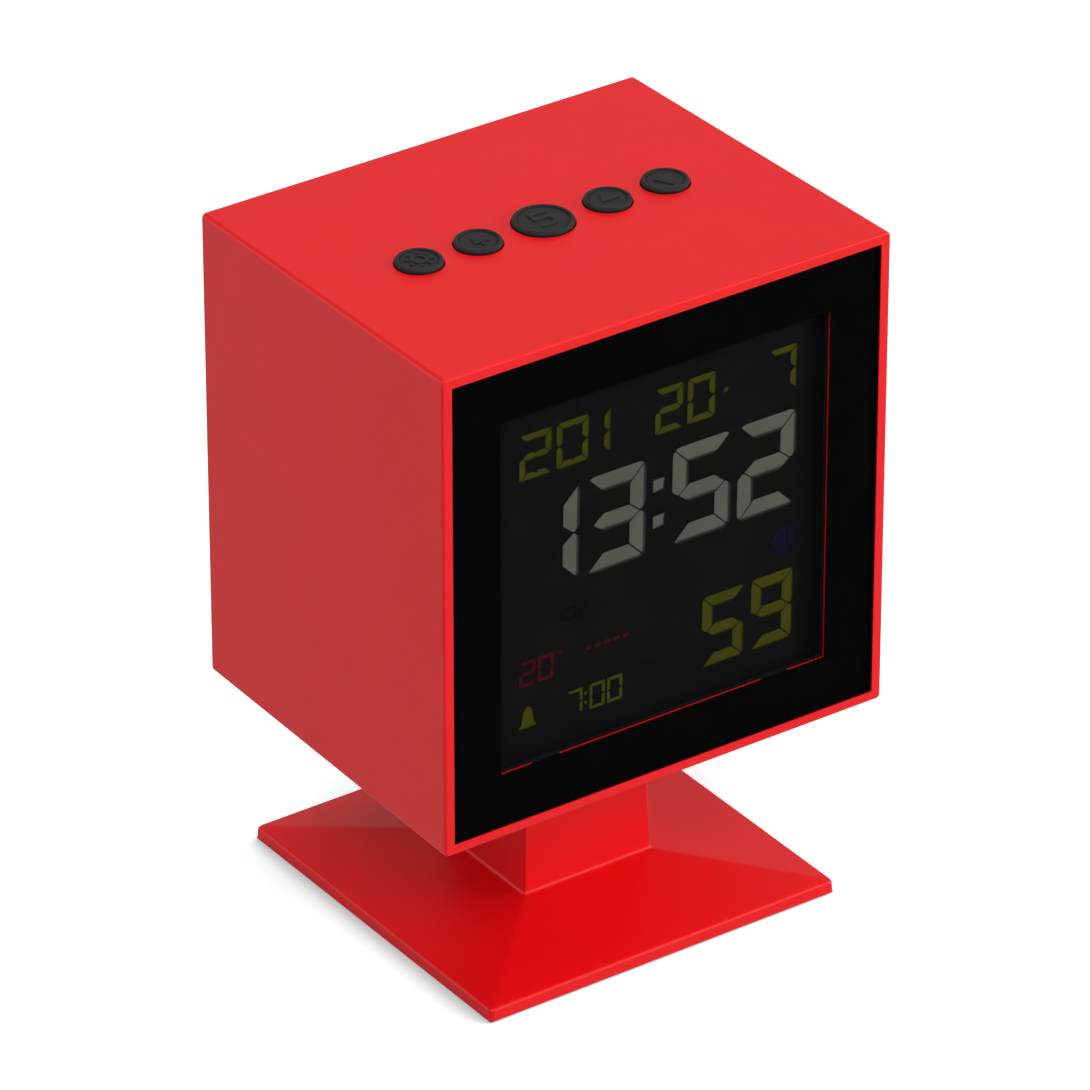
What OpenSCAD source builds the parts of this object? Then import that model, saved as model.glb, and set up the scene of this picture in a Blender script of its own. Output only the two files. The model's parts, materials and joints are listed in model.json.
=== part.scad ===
// Cube-shaped digital alarm clock on a square pedestal.
// Millimetres, +Z up, origin at the centre of the underside, front towards -Y.

/* [Case] */
// Width of the case at its front
case_w = 100.7; // [90:0.1:130]
// Height of the case at its front
case_h = 100.7; // [90:0.1:130]
// Depth of the case
case_d = 80.6; // [72:0.2:120]
// Draft of the case sides towards the back, in degrees
case_draft = 0.6; // [0.1:0.1:1]
// Wall thickness of the case at its open back
case_wall = 2; // [1.6:0.1:2.4]
// Radius of the long edges of the case
case_edge_r = 1; // [0.6:0.1:1.5]
// Radius of the front and back edges of the case
case_rim_r = 0.5; // [0.2:0.1:0.8]
// Length of the corner posts that hold the rear cover
corner_post_l = 24; // [14:1:28]
// Radius of the corner posts
corner_post_r = 3.5; // [3:0.1:4]

/* [Front window] */
// Width of the rim around the lens
rim_w = 2.15; // [1:0.05:2.5]
// Depth of the lens behind the front edge of the case
lens_recess = 0.1; // [0.05:0.05:0.5]
// Thickness of the clear lens
lens_t = 0.6; // [0.3:0.1:1]
// Thickness of the printed mask behind the lens
mask_t = 0.2; // [0.1:0.05:0.3]
// Thickness of the adhesive tape behind the mask
tape_t = 0.2; // [0.1:0.05:0.4]
// Thickness of the flange that the lens is stuck to
flange_t = 1; // [0.8:0.1:1.6]
// Distance of the window in the mask from the edges of the case
window_border = 13.15; // [12:0.05:16]
// Step of the flange and the display frame behind the edge of the mask
window_step = 0.65; // [0.2:0.05:0.8]
// Distance of each locating tab from the middle
tab_x = 26.3; // [18:0.1:32]
// Width of a locating tab
tab_w = 6; // [4:0.5:8]
// Height of a locating tab
tab_h = 1.8; // [1.2:0.1:2.2]

/* [Display] */
// Distance of the display glass from the sides of the case
glass_side = 10.35; // [9.6:0.05:11]
// Distance of the front display glass from the top and bottom of the case
glass_end = 8.35; // [7:0.05:8.8]
// Thickness of one display glass
glass_t = 1.1; // [0.7:0.1:1.3]
// Height of the bare contact ledge at the top and bottom of the front glass
ledge_h = 3; // [2.6:0.1:3.4]
// Margin of the films inside the edge of the glass
film_margin = 1; // [0.4:0.1:1]
// Thickness of a polariser, and of the colour film
film_t = 0.2; // [0.1:0.05:0.3]
// Thickness of the light guide
guide_t = 4; // [3:0.1:6]
// Thickness of the reflector sheet
reflector_t = 0.4; // [0.2:0.1:0.8]
// Thickness of the front lip of the display frame
frame_lip_t = 1.1; // [0.8:0.1:1.6]
// Wall thickness of the display frame
frame_wall = 1.6; // [1.2:0.1:1.8]
// Height of the display screws above and below the middle
frame_ear_z = 30; // [24:0.5:36]
// Height of the main board screws above and below the middle
board_ear_z = 12; // [8:0.5:16]
// Radius of the screw ears on the frame and the board
ear_r = 2.4; // [2.2:0.1:2.5]
// Thickness of the screw ears on the frame
ear_t = 2; // [1.4:0.1:2.2]
// Depth of the screw posts behind the flange
frame_post_l = 5; // [4:0.1:5.4]
// Number of backlight lamps
lamp_n = 6; // [3:1:8]
// Distance of a contact strip's ends from the sides of the glass
strip_inset = 4; // [2:0.5:10]
// Thickness of a contact strip
strip_t = 2; // [1.4:0.1:2.2]

/* [Buttons] */
// Distance of the inner small buttons from the middle
button_x1 = 14.65; // [14:0.05:15]
// Distance of the outer small buttons from the middle
button_x2 = 27.85; // [27.4:0.05:32]
// Diameter of a small button
button_dia = 9.3; // [8:0.1:9.8]
// Diameter of the middle button
snooze_dia = 12; // [9:0.1:12.6]
// Height of a button above the case
button_proud = 1; // [0.9:0.1:2.5]
// Radius of the rounded side of a button
button_round = 0.5; // [0.3:0.1:1]
// Width of the raised rim of a button
button_rim = 0.4; // [0.3:0.05:0.8]
// Depth of the dished top of a button
button_dish = 0.25; // [0.2:0.05:0.5]
// Travel of a button
button_travel = 0.8; // [0.4:0.1:1]
// Width of the retaining collar around a button
collar_w = 1; // [0.6:0.1:1.2]
// Thickness of the retaining collar
collar_t = 1; // [0.8:0.1:1.4]
// Length of the shank below the collar
shank_l = 2.5; // [2:0.1:4]
// Diameter of the shank below the collar
shank_dia = 4.4; // [4:0.1:6]

/* [Switches and button board] */
// Width of a switch body
switch_w = 6; // [5:0.1:7]
// Height of a switch body
switch_h = 3.5; // [3:0.1:5]
// Diameter of a switch stem
stem_dia = 3.4; // [2.4:0.1:3.8]
// Length of a switch stem above the switch body
stem_out = 2.4; // [1.2:0.1:4]
// Length of a switch stem inside the switch body
stem_in = 1.4; // [1:0.1:1.6]
// Depth of the button board, front to back
button_board_d = 16; // [12:0.5:16]
// Radius of the posts that carry the button board
button_post_r = 2.5; // [2.2:0.1:3]

/* [Circuit boards] */
// Thickness of the circuit boards
board_t = 1.6; // [1:0.1:2]
// Height of the wire connectors on the main board
connector_h = 5.5; // [4:0.1:7]
// Width of the wire connectors
connector_w = 9; // [8.4:0.1:12]
// Radius of the buzzer
buzzer_r = 6; // [4:0.1:8]
// Height of the buzzer
buzzer_h = 8.5; // [4:0.1:12]
// Thickness of the ribbon cables
ribbon_t = 0.6; // [0.4:0.1:1]
// Width of the button ribbon
button_ribbon_w = 8; // [5:0.5:8]
// Width of the battery and power leads
lead_w = 3; // [2:0.1:4]

/* [Back] */
// Thickness of the rear cover and the battery door
cover_t = 2.4; // [2.2:0.1:3]
// Number of sound slots
slot_n = 6; // [3:1:8]
// Length of a sound slot
slot_w = 18; // [10:0.5:30]
// Height of a sound slot
slot_h = 1.2; // [0.8:0.1:1.6]
// Distance between sound slots
slot_pitch = 2.8; // [2.2:0.1:3.2]
// Height of the sound slots above the middle of the case
slot_z = 27; // [24:0.5:30]

/* [Battery bay] */
// Number of battery cells
cell_n = 3; // [2:1:3]
// Diameter of a battery cell
cell_dia = 10.5; // [10:0.1:11]
// Length of a battery cell with its button
cell_l = 44.5; // [40:0.1:50]
// Height of the middle of the bay above the floor of the case
bay_up = 38.3; // [37.3:0.1:41.3]
// Space for a contact at each end of the cells
contact_space = 4; // [3:0.1:6]
// Thickness of the contact leaves
contact_t = 0.4; // [0.3:0.05:0.6]
// Wall thickness of the bay
bay_wall = 2; // [1.4:0.1:2.4]
// Width of the ledge that the door rests on
door_ledge = 1; // [0.6:0.1:1.2]
// Radius of the door's hinge pins
hinge_pin_r = 0.7; // [0.5:0.05:0.8]
// Length of the door's hinge pins
hinge_pin_l = 1.6; // [1:0.1:3]
// Length of the door's latch tongue
tongue_l = 3; // [1.5:0.1:4]
// Width of the door's latch tongue
tongue_w = 10; // [5:0.5:20]
// Thickness of the door's latch tongue
tongue_t = 1.2; // [0.8:0.1:1.6]

/* [Power socket] */
// Width of the socket shell
socket_w = 7.7; // [7:0.1:8.4]
// Height of the socket shell
socket_h = 3.9; // [3.4:0.1:4.4]
// Length of the socket shell
socket_l = 9; // [7:0.1:10]
// Sheet thickness of the socket shell
socket_sheet = 0.35; // [0.25:0.05:0.4]
// Depth of the socket mouth behind the back face
socket_recess = 0.4; // [0.1:0.1:0.8]
// Height of the socket above the floor of the case
socket_up = 10.3; // [9.3:0.1:11.3]
// Width of the socket board
socket_board_w = 22; // [21:0.5:30]
// Length of the socket board
socket_board_l = 14; // [12:0.5:20]
// Height of the brackets under the socket board
bracket_h = 4; // [3.4:0.1:4.6]

/* [Stand] */
// Height of the case's front lower edge above the table
stand_h = 40.45; // [30:0.05:60]
// Distance of the base's edges behind the front and back of the case
base_inset = 0; // [-10:0.1:4]
// Height of the base's edge
base_edge_h = 2.9; // [2.5:0.05:4]
// Lean of the base's edge, in degrees
base_lean = 3.5; // [0:0.5:6]
// Radius of the rounded top of the base's edge
base_round = 0.5; // [0.3:0.1:1.2]
// Height of the neck's foot above the table
neck_foot_z = 6.4; // [5.8:0.1:9]
// Width of the neck at its foot
neck_foot_w = 29.7; // [28:0.1:34]
// Width of the neck at the case
neck_top_w = 27.4; // [26:0.1:29.6]
// Radius of the fillet at the neck's foot
neck_fillet = 0.5; // [0.3:0.1:1]
// Radius of the stand's upright corners
stand_corner_r = 0.6; // [0.4:0.1:1.6]
// Wall thickness of the stand
stand_wall = 1.8; // [1.4:0.1:2.2]
// Thickness of the stand's roof under the pyramid
stand_roof = 1.6; // [1.2:0.1:1.8]
// Depth of the seat in the case that the neck enters
neck_seat = 0.8; // [0.5:0.1:1]
// Thickness of the neck's top plate
neck_plate_t = 2; // [1.6:0.1:3]
// Distance of the neck screws from the middle, along X and Y
neck_screw_xy = 8; // [7:0.1:8.4]
// Thickness of the steel base plate
base_plate_t = 0.8; // [0.5:0.1:0.8]
// Height of the rubber feet
foot_h = 0.8; // [0.8:0.1:1]
// Radius of the rubber feet
foot_r = 5; // [3:0.1:7]
// Distance of the feet's middles from the edges of the base
foot_inset = 10.3; // [9.6:0.1:12]
// Distance of the base plate screws from the sides of the neck
plate_screw_out = 4.65; // [3.6:0.05:6]
// Gap between the base's lower edge and the table
base_lift = 0.3; // [0.1:0.1:0.5]

/* [Fasteners] */
// Radius of a small screw's shank
small_screw_r = 1; // [0.8:0.05:1.1]
// Radius of a small screw's head
small_head_r = 1.9; // [1.6:0.1:2.1]
// Height of a small screw's head
small_head_h = 1; // [0.8:0.1:1.2]
// Radius of a case screw's shank
case_screw_r = 1.25; // [1:0.05:1.4]
// Radius of a case screw's head
case_head_r = 2.4; // [2:0.1:2.6]
// Height of a case screw's head
case_head_h = 1.4; // [1:0.1:1.6]
// Length of a case screw's shank
case_screw_l = 9; // [7:0.5:10]

/* [Clearances] */
// Gap around the lens
lens_gap = 0.1; // [0.05:0.05:0.2]
// Gap around the display glass
glass_gap = 0.2; // [0.1:0.05:0.3]
// Gap around the rear cover
cover_gap = 0.15; // [0.1:0.05:0.3]
// Gap around the battery door
door_gap = 0.25; // [0.2:0.05:0.4]
// Radial gap around a hinge pin
hinge_gap = 0.05; // [0.02:0.01:0.1]
// Radial gap around a button in its bore
button_gap = 0.2; // [0.1:0.05:0.3]
// Radial gap around a switch stem
stem_gap = 0.08; // [0.03:0.01:0.1]
// Radial gap around a screw shank in its pilot hole
pilot_gap = 0.05; // [0.02:0.01:0.1]
// Radial gap around a screw shank in a clearance hole
screw_gap = 0.25; // [0.15:0.05:0.4]
// Loose fit of parts set into pockets
loose_gap = 0.2; // [0.1:0.05:0.3]

/* [Hidden] */
$fn = 48;
CORNER_STEPS = 5;
ROUND_STEPS = 3;
CUT = 1;
BITE = 0.4;

RED = [0.84, 0.05, 0.06];
BLACK = [0.05, 0.05, 0.05];
RUBBER = [0.13, 0.13, 0.13];
CLEAR = [0.75, 0.8, 0.82, 0.35];
GLASS = [0.2, 0.22, 0.2, 0.8];
WHITE = [0.9, 0.9, 0.88];
STEEL = [0.72, 0.72, 0.74];
GREEN = [0.08, 0.35, 0.16];
COPPER = [0.75, 0.5, 0.25];
BLUE = [0.1, 0.12, 0.3];

// Room past the tip of a screw in its pilot hole
tip_room = 0.3;

// Planes of the case
front_y = -case_d / 2;
back_y = case_d / 2;
mid_z = stand_h + case_h / 2;
draft_slope = tan(case_draft);
inner_w = case_w - 2 * draft_slope * case_d - 2 * case_wall;
inner_h = case_h - 2 * draft_slope * case_d - 2 * case_wall;
roof_z = mid_z + inner_h / 2;
floor_z = mid_z - inner_h / 2;
case_top_z = stand_h + case_h - draft_slope * case_d / 2;

// Depths behind the front edge, from the lens to the back of the main board
lens_y = front_y + lens_recess;
mask_y = lens_y + lens_t;
tape_y = mask_y + mask_t;
flange_y = tape_y + tape_t;
frame_y = flange_y + flange_t;
glass_stack_y = frame_y + frame_lip_t;
front_glass_y = glass_stack_y + film_t;
rear_glass_y = front_glass_y + glass_t;
rear_polariser_y = rear_glass_y + glass_t;
colour_film_y = rear_polariser_y + film_t;
guide_y = colour_film_y + film_t;
reflector_y = guide_y + guide_t;
board_y = reflector_y + reflector_t;
board_back_y = board_y + board_t;

// Front pieces
pocket_w = case_w - 2 * rim_w;
pocket_h = case_h - 2 * rim_w;
lens_w = pocket_w - 2 * lens_gap;
lens_h = pocket_h - 2 * lens_gap;
lens_corner_r = 0.6;
window_w = case_w - 2 * window_border;
window_h = case_h - 2 * window_border;
step_w = window_w + 2 * window_step;
step_h = window_h + 2 * window_step;
tape_inset = 2;
tape_step = 2;
tape_window_w = step_w + 2 * tape_step;
tape_window_h = step_h + 2 * tape_step;

// Display pieces
glass_w = case_w - 2 * glass_side;
glass_h = case_h - 2 * glass_end;
strip_w = glass_w - 2 * strip_inset;
frame_in_w = glass_w + 2 * glass_gap;
frame_in_h = glass_h + 2 * glass_gap;
frame_out_w = frame_in_w + 2 * frame_wall;
frame_out_h = frame_in_h + 2 * frame_wall;
rear_glass_h = glass_h - 2 * ledge_h;
film_w = glass_w - 2 * film_margin;
film_h = rear_glass_h - 2 * film_margin;
ear_x = frame_out_w / 2 + ear_r + 0.1;
ear_y = frame_y + frame_post_l;
frame_boss_y = glass_stack_y + 1;
lamp_board_t = 1;
lamp_t = 1.1;
lamp_d = 2.8;
lamp_h = 3.5;
lamp_board_x = frame_in_w / 2 - loose_gap - lamp_board_t;
lamp_x = lamp_board_x - lamp_t;
guide_x = lamp_x - 0.1;
lamp_board_h = film_h - 6;
lamp_span = lamp_board_h - 2 * lamp_h;
frame_screw_l = frame_post_l + ear_t - 1;
board_screw_l = board_y - frame_boss_y + board_t - 1;

// Buttons, from the roof of the case down to the button board
button_rest_gap = 0.1;
collar_z = roof_z - button_rest_gap;
shank_z = collar_z - collar_t;
stem_top_z = shank_z - shank_l;
switch_top_z = stem_top_z - stem_out;
button_board_z = switch_top_z - switch_h;
button_board_under_z = button_board_z - board_t;
button_xs = [-button_x2, -button_x1, 0, button_x1, button_x2];
button_dias = [button_dia, button_dia, snooze_dia, button_dia, button_dia];
button_post_x = button_x2 + button_dia / 2 + collar_w + button_post_r + 1;
button_board_w = 2 * (button_post_x + button_post_r + 1);
button_screw_l = 6;

// Rear cover, corner posts and battery bay
cover_y = back_y - cover_t;
cover_w = inner_w - 2 * cover_gap;
cover_h = inner_h - 2 * cover_gap;
cover_corner_r = 0.5;
post_x = inner_w / 2 - corner_post_r - 1;
post_z = inner_h / 2 - corner_post_r - 1;
cell_pitch = cell_dia + 0.7;
cell_rest_gap = 0.1;
bay_w = cell_l + 2 * contact_space;
bay_h = cell_n * cell_pitch + 1.4;
bay_depth = cell_dia + cell_rest_gap + 2;
bay_mid_z = floor_z + bay_up;
bay_floor_y = cover_y - bay_depth;
bay_front_y = bay_floor_y - bay_wall;
cell_y = bay_floor_y + cell_rest_gap + cell_dia / 2;
cell_button_l = 1;
cell_button_r = 1.9;
door_w = bay_w + 2 * door_ledge;
door_h = bay_h + 2 * door_ledge;
door_top_z = bay_mid_z + door_h / 2;
door_low_z = bay_mid_z - door_h / 2;
door_r = cover_t / 2;
hinge_y = back_y - door_r;
hinge_z = door_top_z - door_r;
tongue_room = 0.8;
notch_w = 14;
notch_h = 2.5;
notch_t = 0.8;

// Power socket
socket_mid_z = floor_z + socket_up;
socket_back_y = back_y - socket_recess - socket_l;
socket_board_y = cover_y - loose_gap - socket_board_l;
socket_board_top_z = socket_mid_z - socket_h / 2;
socket_board_t = 1.2;
socket_board_under_z = socket_board_top_z - socket_board_t;
socket_screw_x = socket_w / 2 + small_head_r + 1.6;
socket_screw_y = cover_y - socket_board_l / 2;
socket_screw_l = bracket_h;
bracket_w = 2 * small_screw_r + 2.4;

// Stand
shell_z = base_lift;
base_w = case_d - 2 * base_inset;
foot_xy = base_w / 2 - foot_inset;
plate_screw_xy = neck_foot_w / 2 + plate_screw_out;
base_top_half = base_w / 2 - (base_edge_h - base_lift) * tan(base_lean) - base_round;
neck_top_z = stand_h + neck_seat;
pyramid_slope = (neck_foot_z - base_edge_h) / (base_top_half - neck_foot_w / 2);
plate_z = foot_h;
plate_top_z = plate_z + base_plate_t;
plate_w = base_w - 2 * stand_wall - 2 * loose_gap;
cavity_w = plate_w - 5;
neck_in_foot_w = neck_foot_w - 2 * stand_wall;
neck_in_top_w = neck_top_w - 2 * stand_wall;
neck_plate_z = neck_top_z - neck_plate_t;
plate_head_h = 0.6;
plate_corner_r = 0.6;
stand_in_r = 0.5;
plate_boss_r = small_screw_r + 1.6;
plate_screw_tip_z = pyramid_z(plate_screw_xy + plate_boss_r) - stand_roof;
neck_boss_r = case_screw_r + 1.8;
neck_boss_z = neck_plate_z + case_screw_l + 1;

// Main board connectors, each near what it is wired to
button_plug_down = 8.2;
battery_plug_up = 5;
power_plug_up = 7;
button_plug_z = button_board_under_z - button_plug_down;
battery_plug_z = bay_mid_z + battery_plug_up;
power_plug_z = socket_mid_z + power_plug_up;
plug_back_y = board_back_y + connector_h;
plug_t = 5;
button_plug_x = 12;
battery_plug_x = -14;
power_plug_x = 0;
lead_run = 5;

// Components on the back of the main board, across and up from its middle
chip_at = [0, 10];
chip_r = 7;
chip_h = 1.6;
crystal_at = [-22, 14];
crystal_w = 11;
crystal_d = 4.6;
crystal_r = 2.2;
crystal_h = 3.5;
capacitor_xs = [20, 29];
capacitor_z = 16;
capacitor_r = 3;
capacitor_h = 7.5;
buzzer_at = [22, -18];
buzzer_hole_r = 1.2;
buzzer_hole_l = 1.5;
thermistor_inset = 9.8;
thermistor_at = [thermistor_inset - frame_out_w / 2, -28];
thermistor_r = 1.5;
thermistor_lead_l = 6;
thermistor_lead_r = 0.25;

// Height of the pyramid's surface at a distance from the middle
function pyramid_z(half) = base_edge_h + (base_top_half - half) * pyramid_slope;

// A quarter circle of points around a corner
function corner_arc(cx, cy, r, start) = [
    for (i = [0:CORNER_STEPS])
        let (a = start + 90 * i / CORNER_STEPS)
            [cx + r * cos(a), cy + r * sin(a)]
];

// Outline of a rectangle with round corners, counter-clockwise
function rounded_rect(w, h, r) = concat(
    corner_arc(w / 2 - r, h / 2 - r, r, 0),
    corner_arc(r - w / 2, h / 2 - r, r, 90),
    corner_arc(r - w / 2, r - h / 2, r, 180),
    corner_arc(w / 2 - r, r - h / 2, r, 270)
);

// Solid through a stack of rounded rectangles, each given as [z, width, height, corner radius]
module loft(sections) {
    count = 4 * (CORNER_STEPS + 1);
    last = len(sections) - 1;
    points = [for (s = sections) for (p = rounded_rect(s[1], s[2], s[3])) [p[0], p[1], s[0]]];
    sides = [
        for (k = [0:last - 1], i = [0:count - 1])
            let (a = k * count + i, b = k * count + (i + 1) % count)
                each [[a, a + count, b + count], [a, b + count, b]]
    ];
    bottom = [for (i = [0:count - 1]) i];
    top = [for (i = [count - 1:-1:0]) last * count + i];
    polyhedron(points, concat(sides, [bottom, top]));
}

// Box centred on X and on a height, from one depth to another
module slab(w, h, y0, y1, z = mid_z) {
    translate([-w / 2, y0, z - h / 2])
        cube([w, y1 - y0, h]);
}

// Cylinder along Y, from one depth to another
module rod_y(r, x, z, y0, y1) {
    translate([x, y0, z])
        rotate([-90, 0, 0])
            cylinder(r = r, h = y1 - y0);
}

// Upright cylinder, from one height to another
module rod_z(r, x, y, z0, z1) {
    translate([x, y, z0])
        cylinder(r = r, h = z1 - z0);
}

// Pan-head screw: the head stands on z = 0 and the shank goes down
module screw(head_r, head_h, shank_r, length) {
    slot_w = head_r / 4;
    difference() {
        union() {
            cylinder(r = head_r, h = head_h);
            translate([0, 0, -length])
                cylinder(r = shank_r, h = length);
        }
        for (turn = [0, 90])
            rotate([0, 0, turn])
                translate([-head_r * 0.6, -slot_w / 2, head_h * 0.45])
                    cube([head_r * 1.2, slot_w, head_h]);
    }
}

// Outline of a band along a list of points
function band_side(p, half) = [
    for (i = [0:len(p) - 1])
        let (
            before = p[max(i - 1, 0)],
            after = p[min(i + 1, len(p) - 1)],
            way = after - before,
            across = [-way[1], way[0]] / norm(way)
        )
            p[i] + half * across
];
function band(p, t) = concat(
    band_side(p, -t / 2),
    let (far = band_side(p, t / 2)) [for (i = [len(far) - 1:-1:0]) far[i]]
);

// Flat cable along points given as [y, z]
module ribbon(points, w, x) {
    translate([x - w / 2, 0, 0])
        rotate([90, 0, 90])
            linear_extrude(w)
                polygon(band(points, ribbon_t));
}

// Copies at the four corners of a rectangle on the XY plane
module at_corners_xy(x, y) {
    for (sx = [-1, 1], sy = [-1, 1])
        translate([sx * x, sy * y, 0])
            children();
}

// Copies at the four corners of a rectangle that faces front, about the middle of the case
module at_corners_xz(x, z) {
    for (sx = [-1, 1], sz = [-1, 1])
        translate([sx * x, 0, mid_z + sz * z])
            children();
}

// Width and height of the case at a depth, less an inset on every side
function case_section(depth, inset) = [
    depth,
    case_w - 2 * draft_slope * depth - 2 * inset,
    case_h - 2 * draft_slope * depth - 2 * inset,
    max(case_edge_r - inset, 0.2)
];

// Stand

module stand_outside() {
    loft(concat(
        [[shell_z, base_w, base_w, stand_corner_r]],
        [
            for (i = [0:ROUND_STEPS])
                let (
                    a = 90 * i / ROUND_STEPS,
                    z = base_edge_h - base_round * (1 - sin(a)),
                    half = base_top_half + base_round * cos(a)
                )
                    [z, 2 * half, 2 * half, stand_corner_r]
        ],
        [
            for (i = [0:ROUND_STEPS])
                let (
                    a = 90 * i / ROUND_STEPS,
                    half = neck_foot_w / 2 + neck_fillet * (1 - sin(a)),
                    z = neck_foot_z - pyramid_slope * neck_fillet + neck_fillet * (1 - cos(a))
                )
                    [z, 2 * half, 2 * half, stand_corner_r]
        ],
        [[neck_top_z, neck_top_w, neck_top_w, stand_corner_r]]
    ));
}

module stand_inside() {
    roof_foot_z = pyramid_z(neck_in_foot_w / 2) - stand_roof;
    plate_pocket_w = plate_w + 2 * loose_gap;
    loft([
        [shell_z - CUT, plate_pocket_w, plate_pocket_w, stand_in_r],
        [plate_top_z, plate_pocket_w, plate_pocket_w, stand_in_r]
    ]);
    loft([
        [plate_top_z - BITE, cavity_w, cavity_w, stand_in_r],
        [plate_top_z, cavity_w, cavity_w, stand_in_r],
        [roof_foot_z, neck_in_foot_w, neck_in_foot_w, stand_in_r],
        [neck_plate_z, neck_in_top_w, neck_in_top_w, stand_in_r]
    ]);
}

module stand_shell() {
    color(RED)
        difference() {
            union() {
                difference() {
                    stand_outside();
                    stand_inside();
                }
                at_corners_xy(plate_screw_xy, plate_screw_xy)
                    rod_z(plate_boss_r, 0, 0, plate_top_z, plate_screw_tip_z + stand_roof / 2);
            }
            at_corners_xy(plate_screw_xy, plate_screw_xy)
                rod_z(small_screw_r + pilot_gap, 0, 0, plate_top_z - CUT, plate_screw_tip_z + tip_room);
            at_corners_xy(neck_screw_xy, neck_screw_xy)
                rod_z(case_screw_r + screw_gap, 0, 0, neck_plate_z - CUT, neck_top_z + CUT);
        }
}

module base_plate() {
    color(STEEL)
        difference() {
            translate([0, 0, plate_z])
                linear_extrude(base_plate_t)
                    polygon(rounded_rect(plate_w, plate_w, plate_corner_r));
            at_corners_xy(plate_screw_xy, plate_screw_xy)
                rod_z(small_screw_r + screw_gap, 0, 0, plate_z - CUT, plate_top_z + CUT);
        }
}

module base_plate_screws() {
    color(STEEL)
        at_corners_xy(plate_screw_xy, plate_screw_xy)
            translate([0, 0, plate_z])
                rotate([180, 0, 0])
                    screw(small_head_r, plate_head_h, small_screw_r, plate_screw_tip_z - plate_z);
}

module base_feet() {
    color(RUBBER)
        at_corners_xy(foot_xy, foot_xy)
            rod_z(foot_r, 0, 0, 0, foot_h);
}

module neck_screws() {
    color(STEEL)
        at_corners_xy(neck_screw_xy, neck_screw_xy)
            translate([0, 0, neck_plate_z])
                rotate([180, 0, 0])
                    screw(case_head_r, case_head_h, case_screw_r, case_screw_l);
}

// Case and front window

module case_outside() {
    front = [
        for (i = [0:ROUND_STEPS])
            let (a = 90 * i / ROUND_STEPS)
                case_section(case_rim_r * (1 - cos(a)), case_rim_r * (1 - sin(a)))
    ];
    back = [
        for (i = [0:ROUND_STEPS])
            let (a = 90 * i / ROUND_STEPS)
                case_section(case_d - case_rim_r * (1 - sin(a)), case_rim_r * (1 - cos(a)))
    ];
    translate([0, front_y, mid_z])
        rotate([-90, 0, 0])
            loft(concat(front, back));
}

// Posts in the corners of the case that take the rear cover's screws
module corner_posts() {
    reach = corner_post_r + 1 + BITE;
    for (sx = [-1, 1], sz = [-1, 1]) {
        rod_y(corner_post_r, sx * post_x, mid_z + sz * post_z, cover_y - corner_post_l, cover_y);
        translate([sx * (post_x + reach / 2), 0, mid_z + sz * (post_z + reach / 2)])
            translate([-reach / 2, cover_y - corner_post_l, -reach / 2])
                cube([reach, corner_post_l, reach]);
    }
}

// Posts on the flange that take the display frame's screws
module frame_posts() {
    web_l = inner_w / 2 - ear_x + BITE;
    for (sx = [-1, 1], sz = [-1, 1])
        translate([sx * ear_x, 0, mid_z + sz * frame_ear_z]) {
            rod_y(ear_r - 0.1, 0, 0, frame_y - BITE, ear_y);
            translate([sx * web_l / 2 - web_l / 2, frame_y - BITE, -0.6])
                cube([web_l, frame_post_l, 1.2]);
        }
}

module case_shell() {
    notch_span = step_h + 2 * (tab_h + loose_gap);
    screw_tip_y = ear_y + ear_t - frame_screw_l;
    color(RED)
        difference() {
            union() {
                difference() {
                    case_outside();
                    slab(inner_w, inner_h, frame_y, back_y + CUT);
                }
                corner_posts();
                frame_posts();
                for (sx = [-1, 1])
                    rod_z(button_post_r, sx * button_post_x, 0, button_board_z, roof_z + BITE);
                at_corners_xy(neck_screw_xy, neck_screw_xy)
                    rod_z(neck_boss_r, 0, 0, floor_z - BITE, neck_boss_z);
            }
            slab(pocket_w, pocket_h, front_y - CUT, flange_y);
            slab(step_w, step_h, front_y - CUT, frame_y + CUT);
            for (sx = [-1, 1])
                translate([sx * tab_x, 0, 0])
                    slab(tab_w + 2 * loose_gap, notch_span, flange_y - CUT, frame_y + BITE);
            for (i = [0:4])
                rod_z(button_dias[i] / 2 + button_gap, button_xs[i], 0, roof_z - CUT, case_top_z + CUT);
            translate([0, 0, neck_top_z - CUT])
                linear_extrude(CUT)
                    square(neck_top_w + 2 * loose_gap, center = true);
            at_corners_xy(neck_screw_xy, neck_screw_xy)
                rod_z(case_screw_r + pilot_gap, 0, 0,
                    neck_top_z - CUT, neck_plate_z + case_screw_l + tip_room);
            at_corners_xz(post_x, post_z)
                rod_y(case_screw_r + pilot_gap, 0, 0, cover_y - case_screw_l, cover_y + CUT);
            at_corners_xz(ear_x, frame_ear_z)
                rod_y(small_screw_r + pilot_gap, 0, 0, screw_tip_y - tip_room, ear_y + CUT);
            for (sx = [-1, 1])
                rod_z(small_screw_r + pilot_gap, sx * button_post_x, 0,
                    button_board_z - CUT, button_board_under_z + button_screw_l + tip_room);
        }
}

module plate_y(w, h, r, y, t) {
    translate([0, y, mid_z])
        rotate([-90, 0, 0])
            linear_extrude(t)
                polygon(rounded_rect(w, h, r));
}

module front_lens() {
    color(CLEAR)
        plate_y(lens_w, lens_h, lens_corner_r, lens_y, lens_t);
}

module lens_mask() {
    color(BLACK)
        difference() {
            plate_y(lens_w, lens_h, lens_corner_r, mask_y, mask_t);
            slab(window_w, window_h, mask_y - CUT, mask_y + CUT);
        }
}

module lens_tape() {
    color(BLACK)
        difference() {
            plate_y(lens_w - tape_inset, lens_h - tape_inset, lens_corner_r, tape_y, tape_t);
            slab(tape_window_w, tape_window_h, tape_y - CUT, tape_y + CUT);
        }
}

// Display

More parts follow.
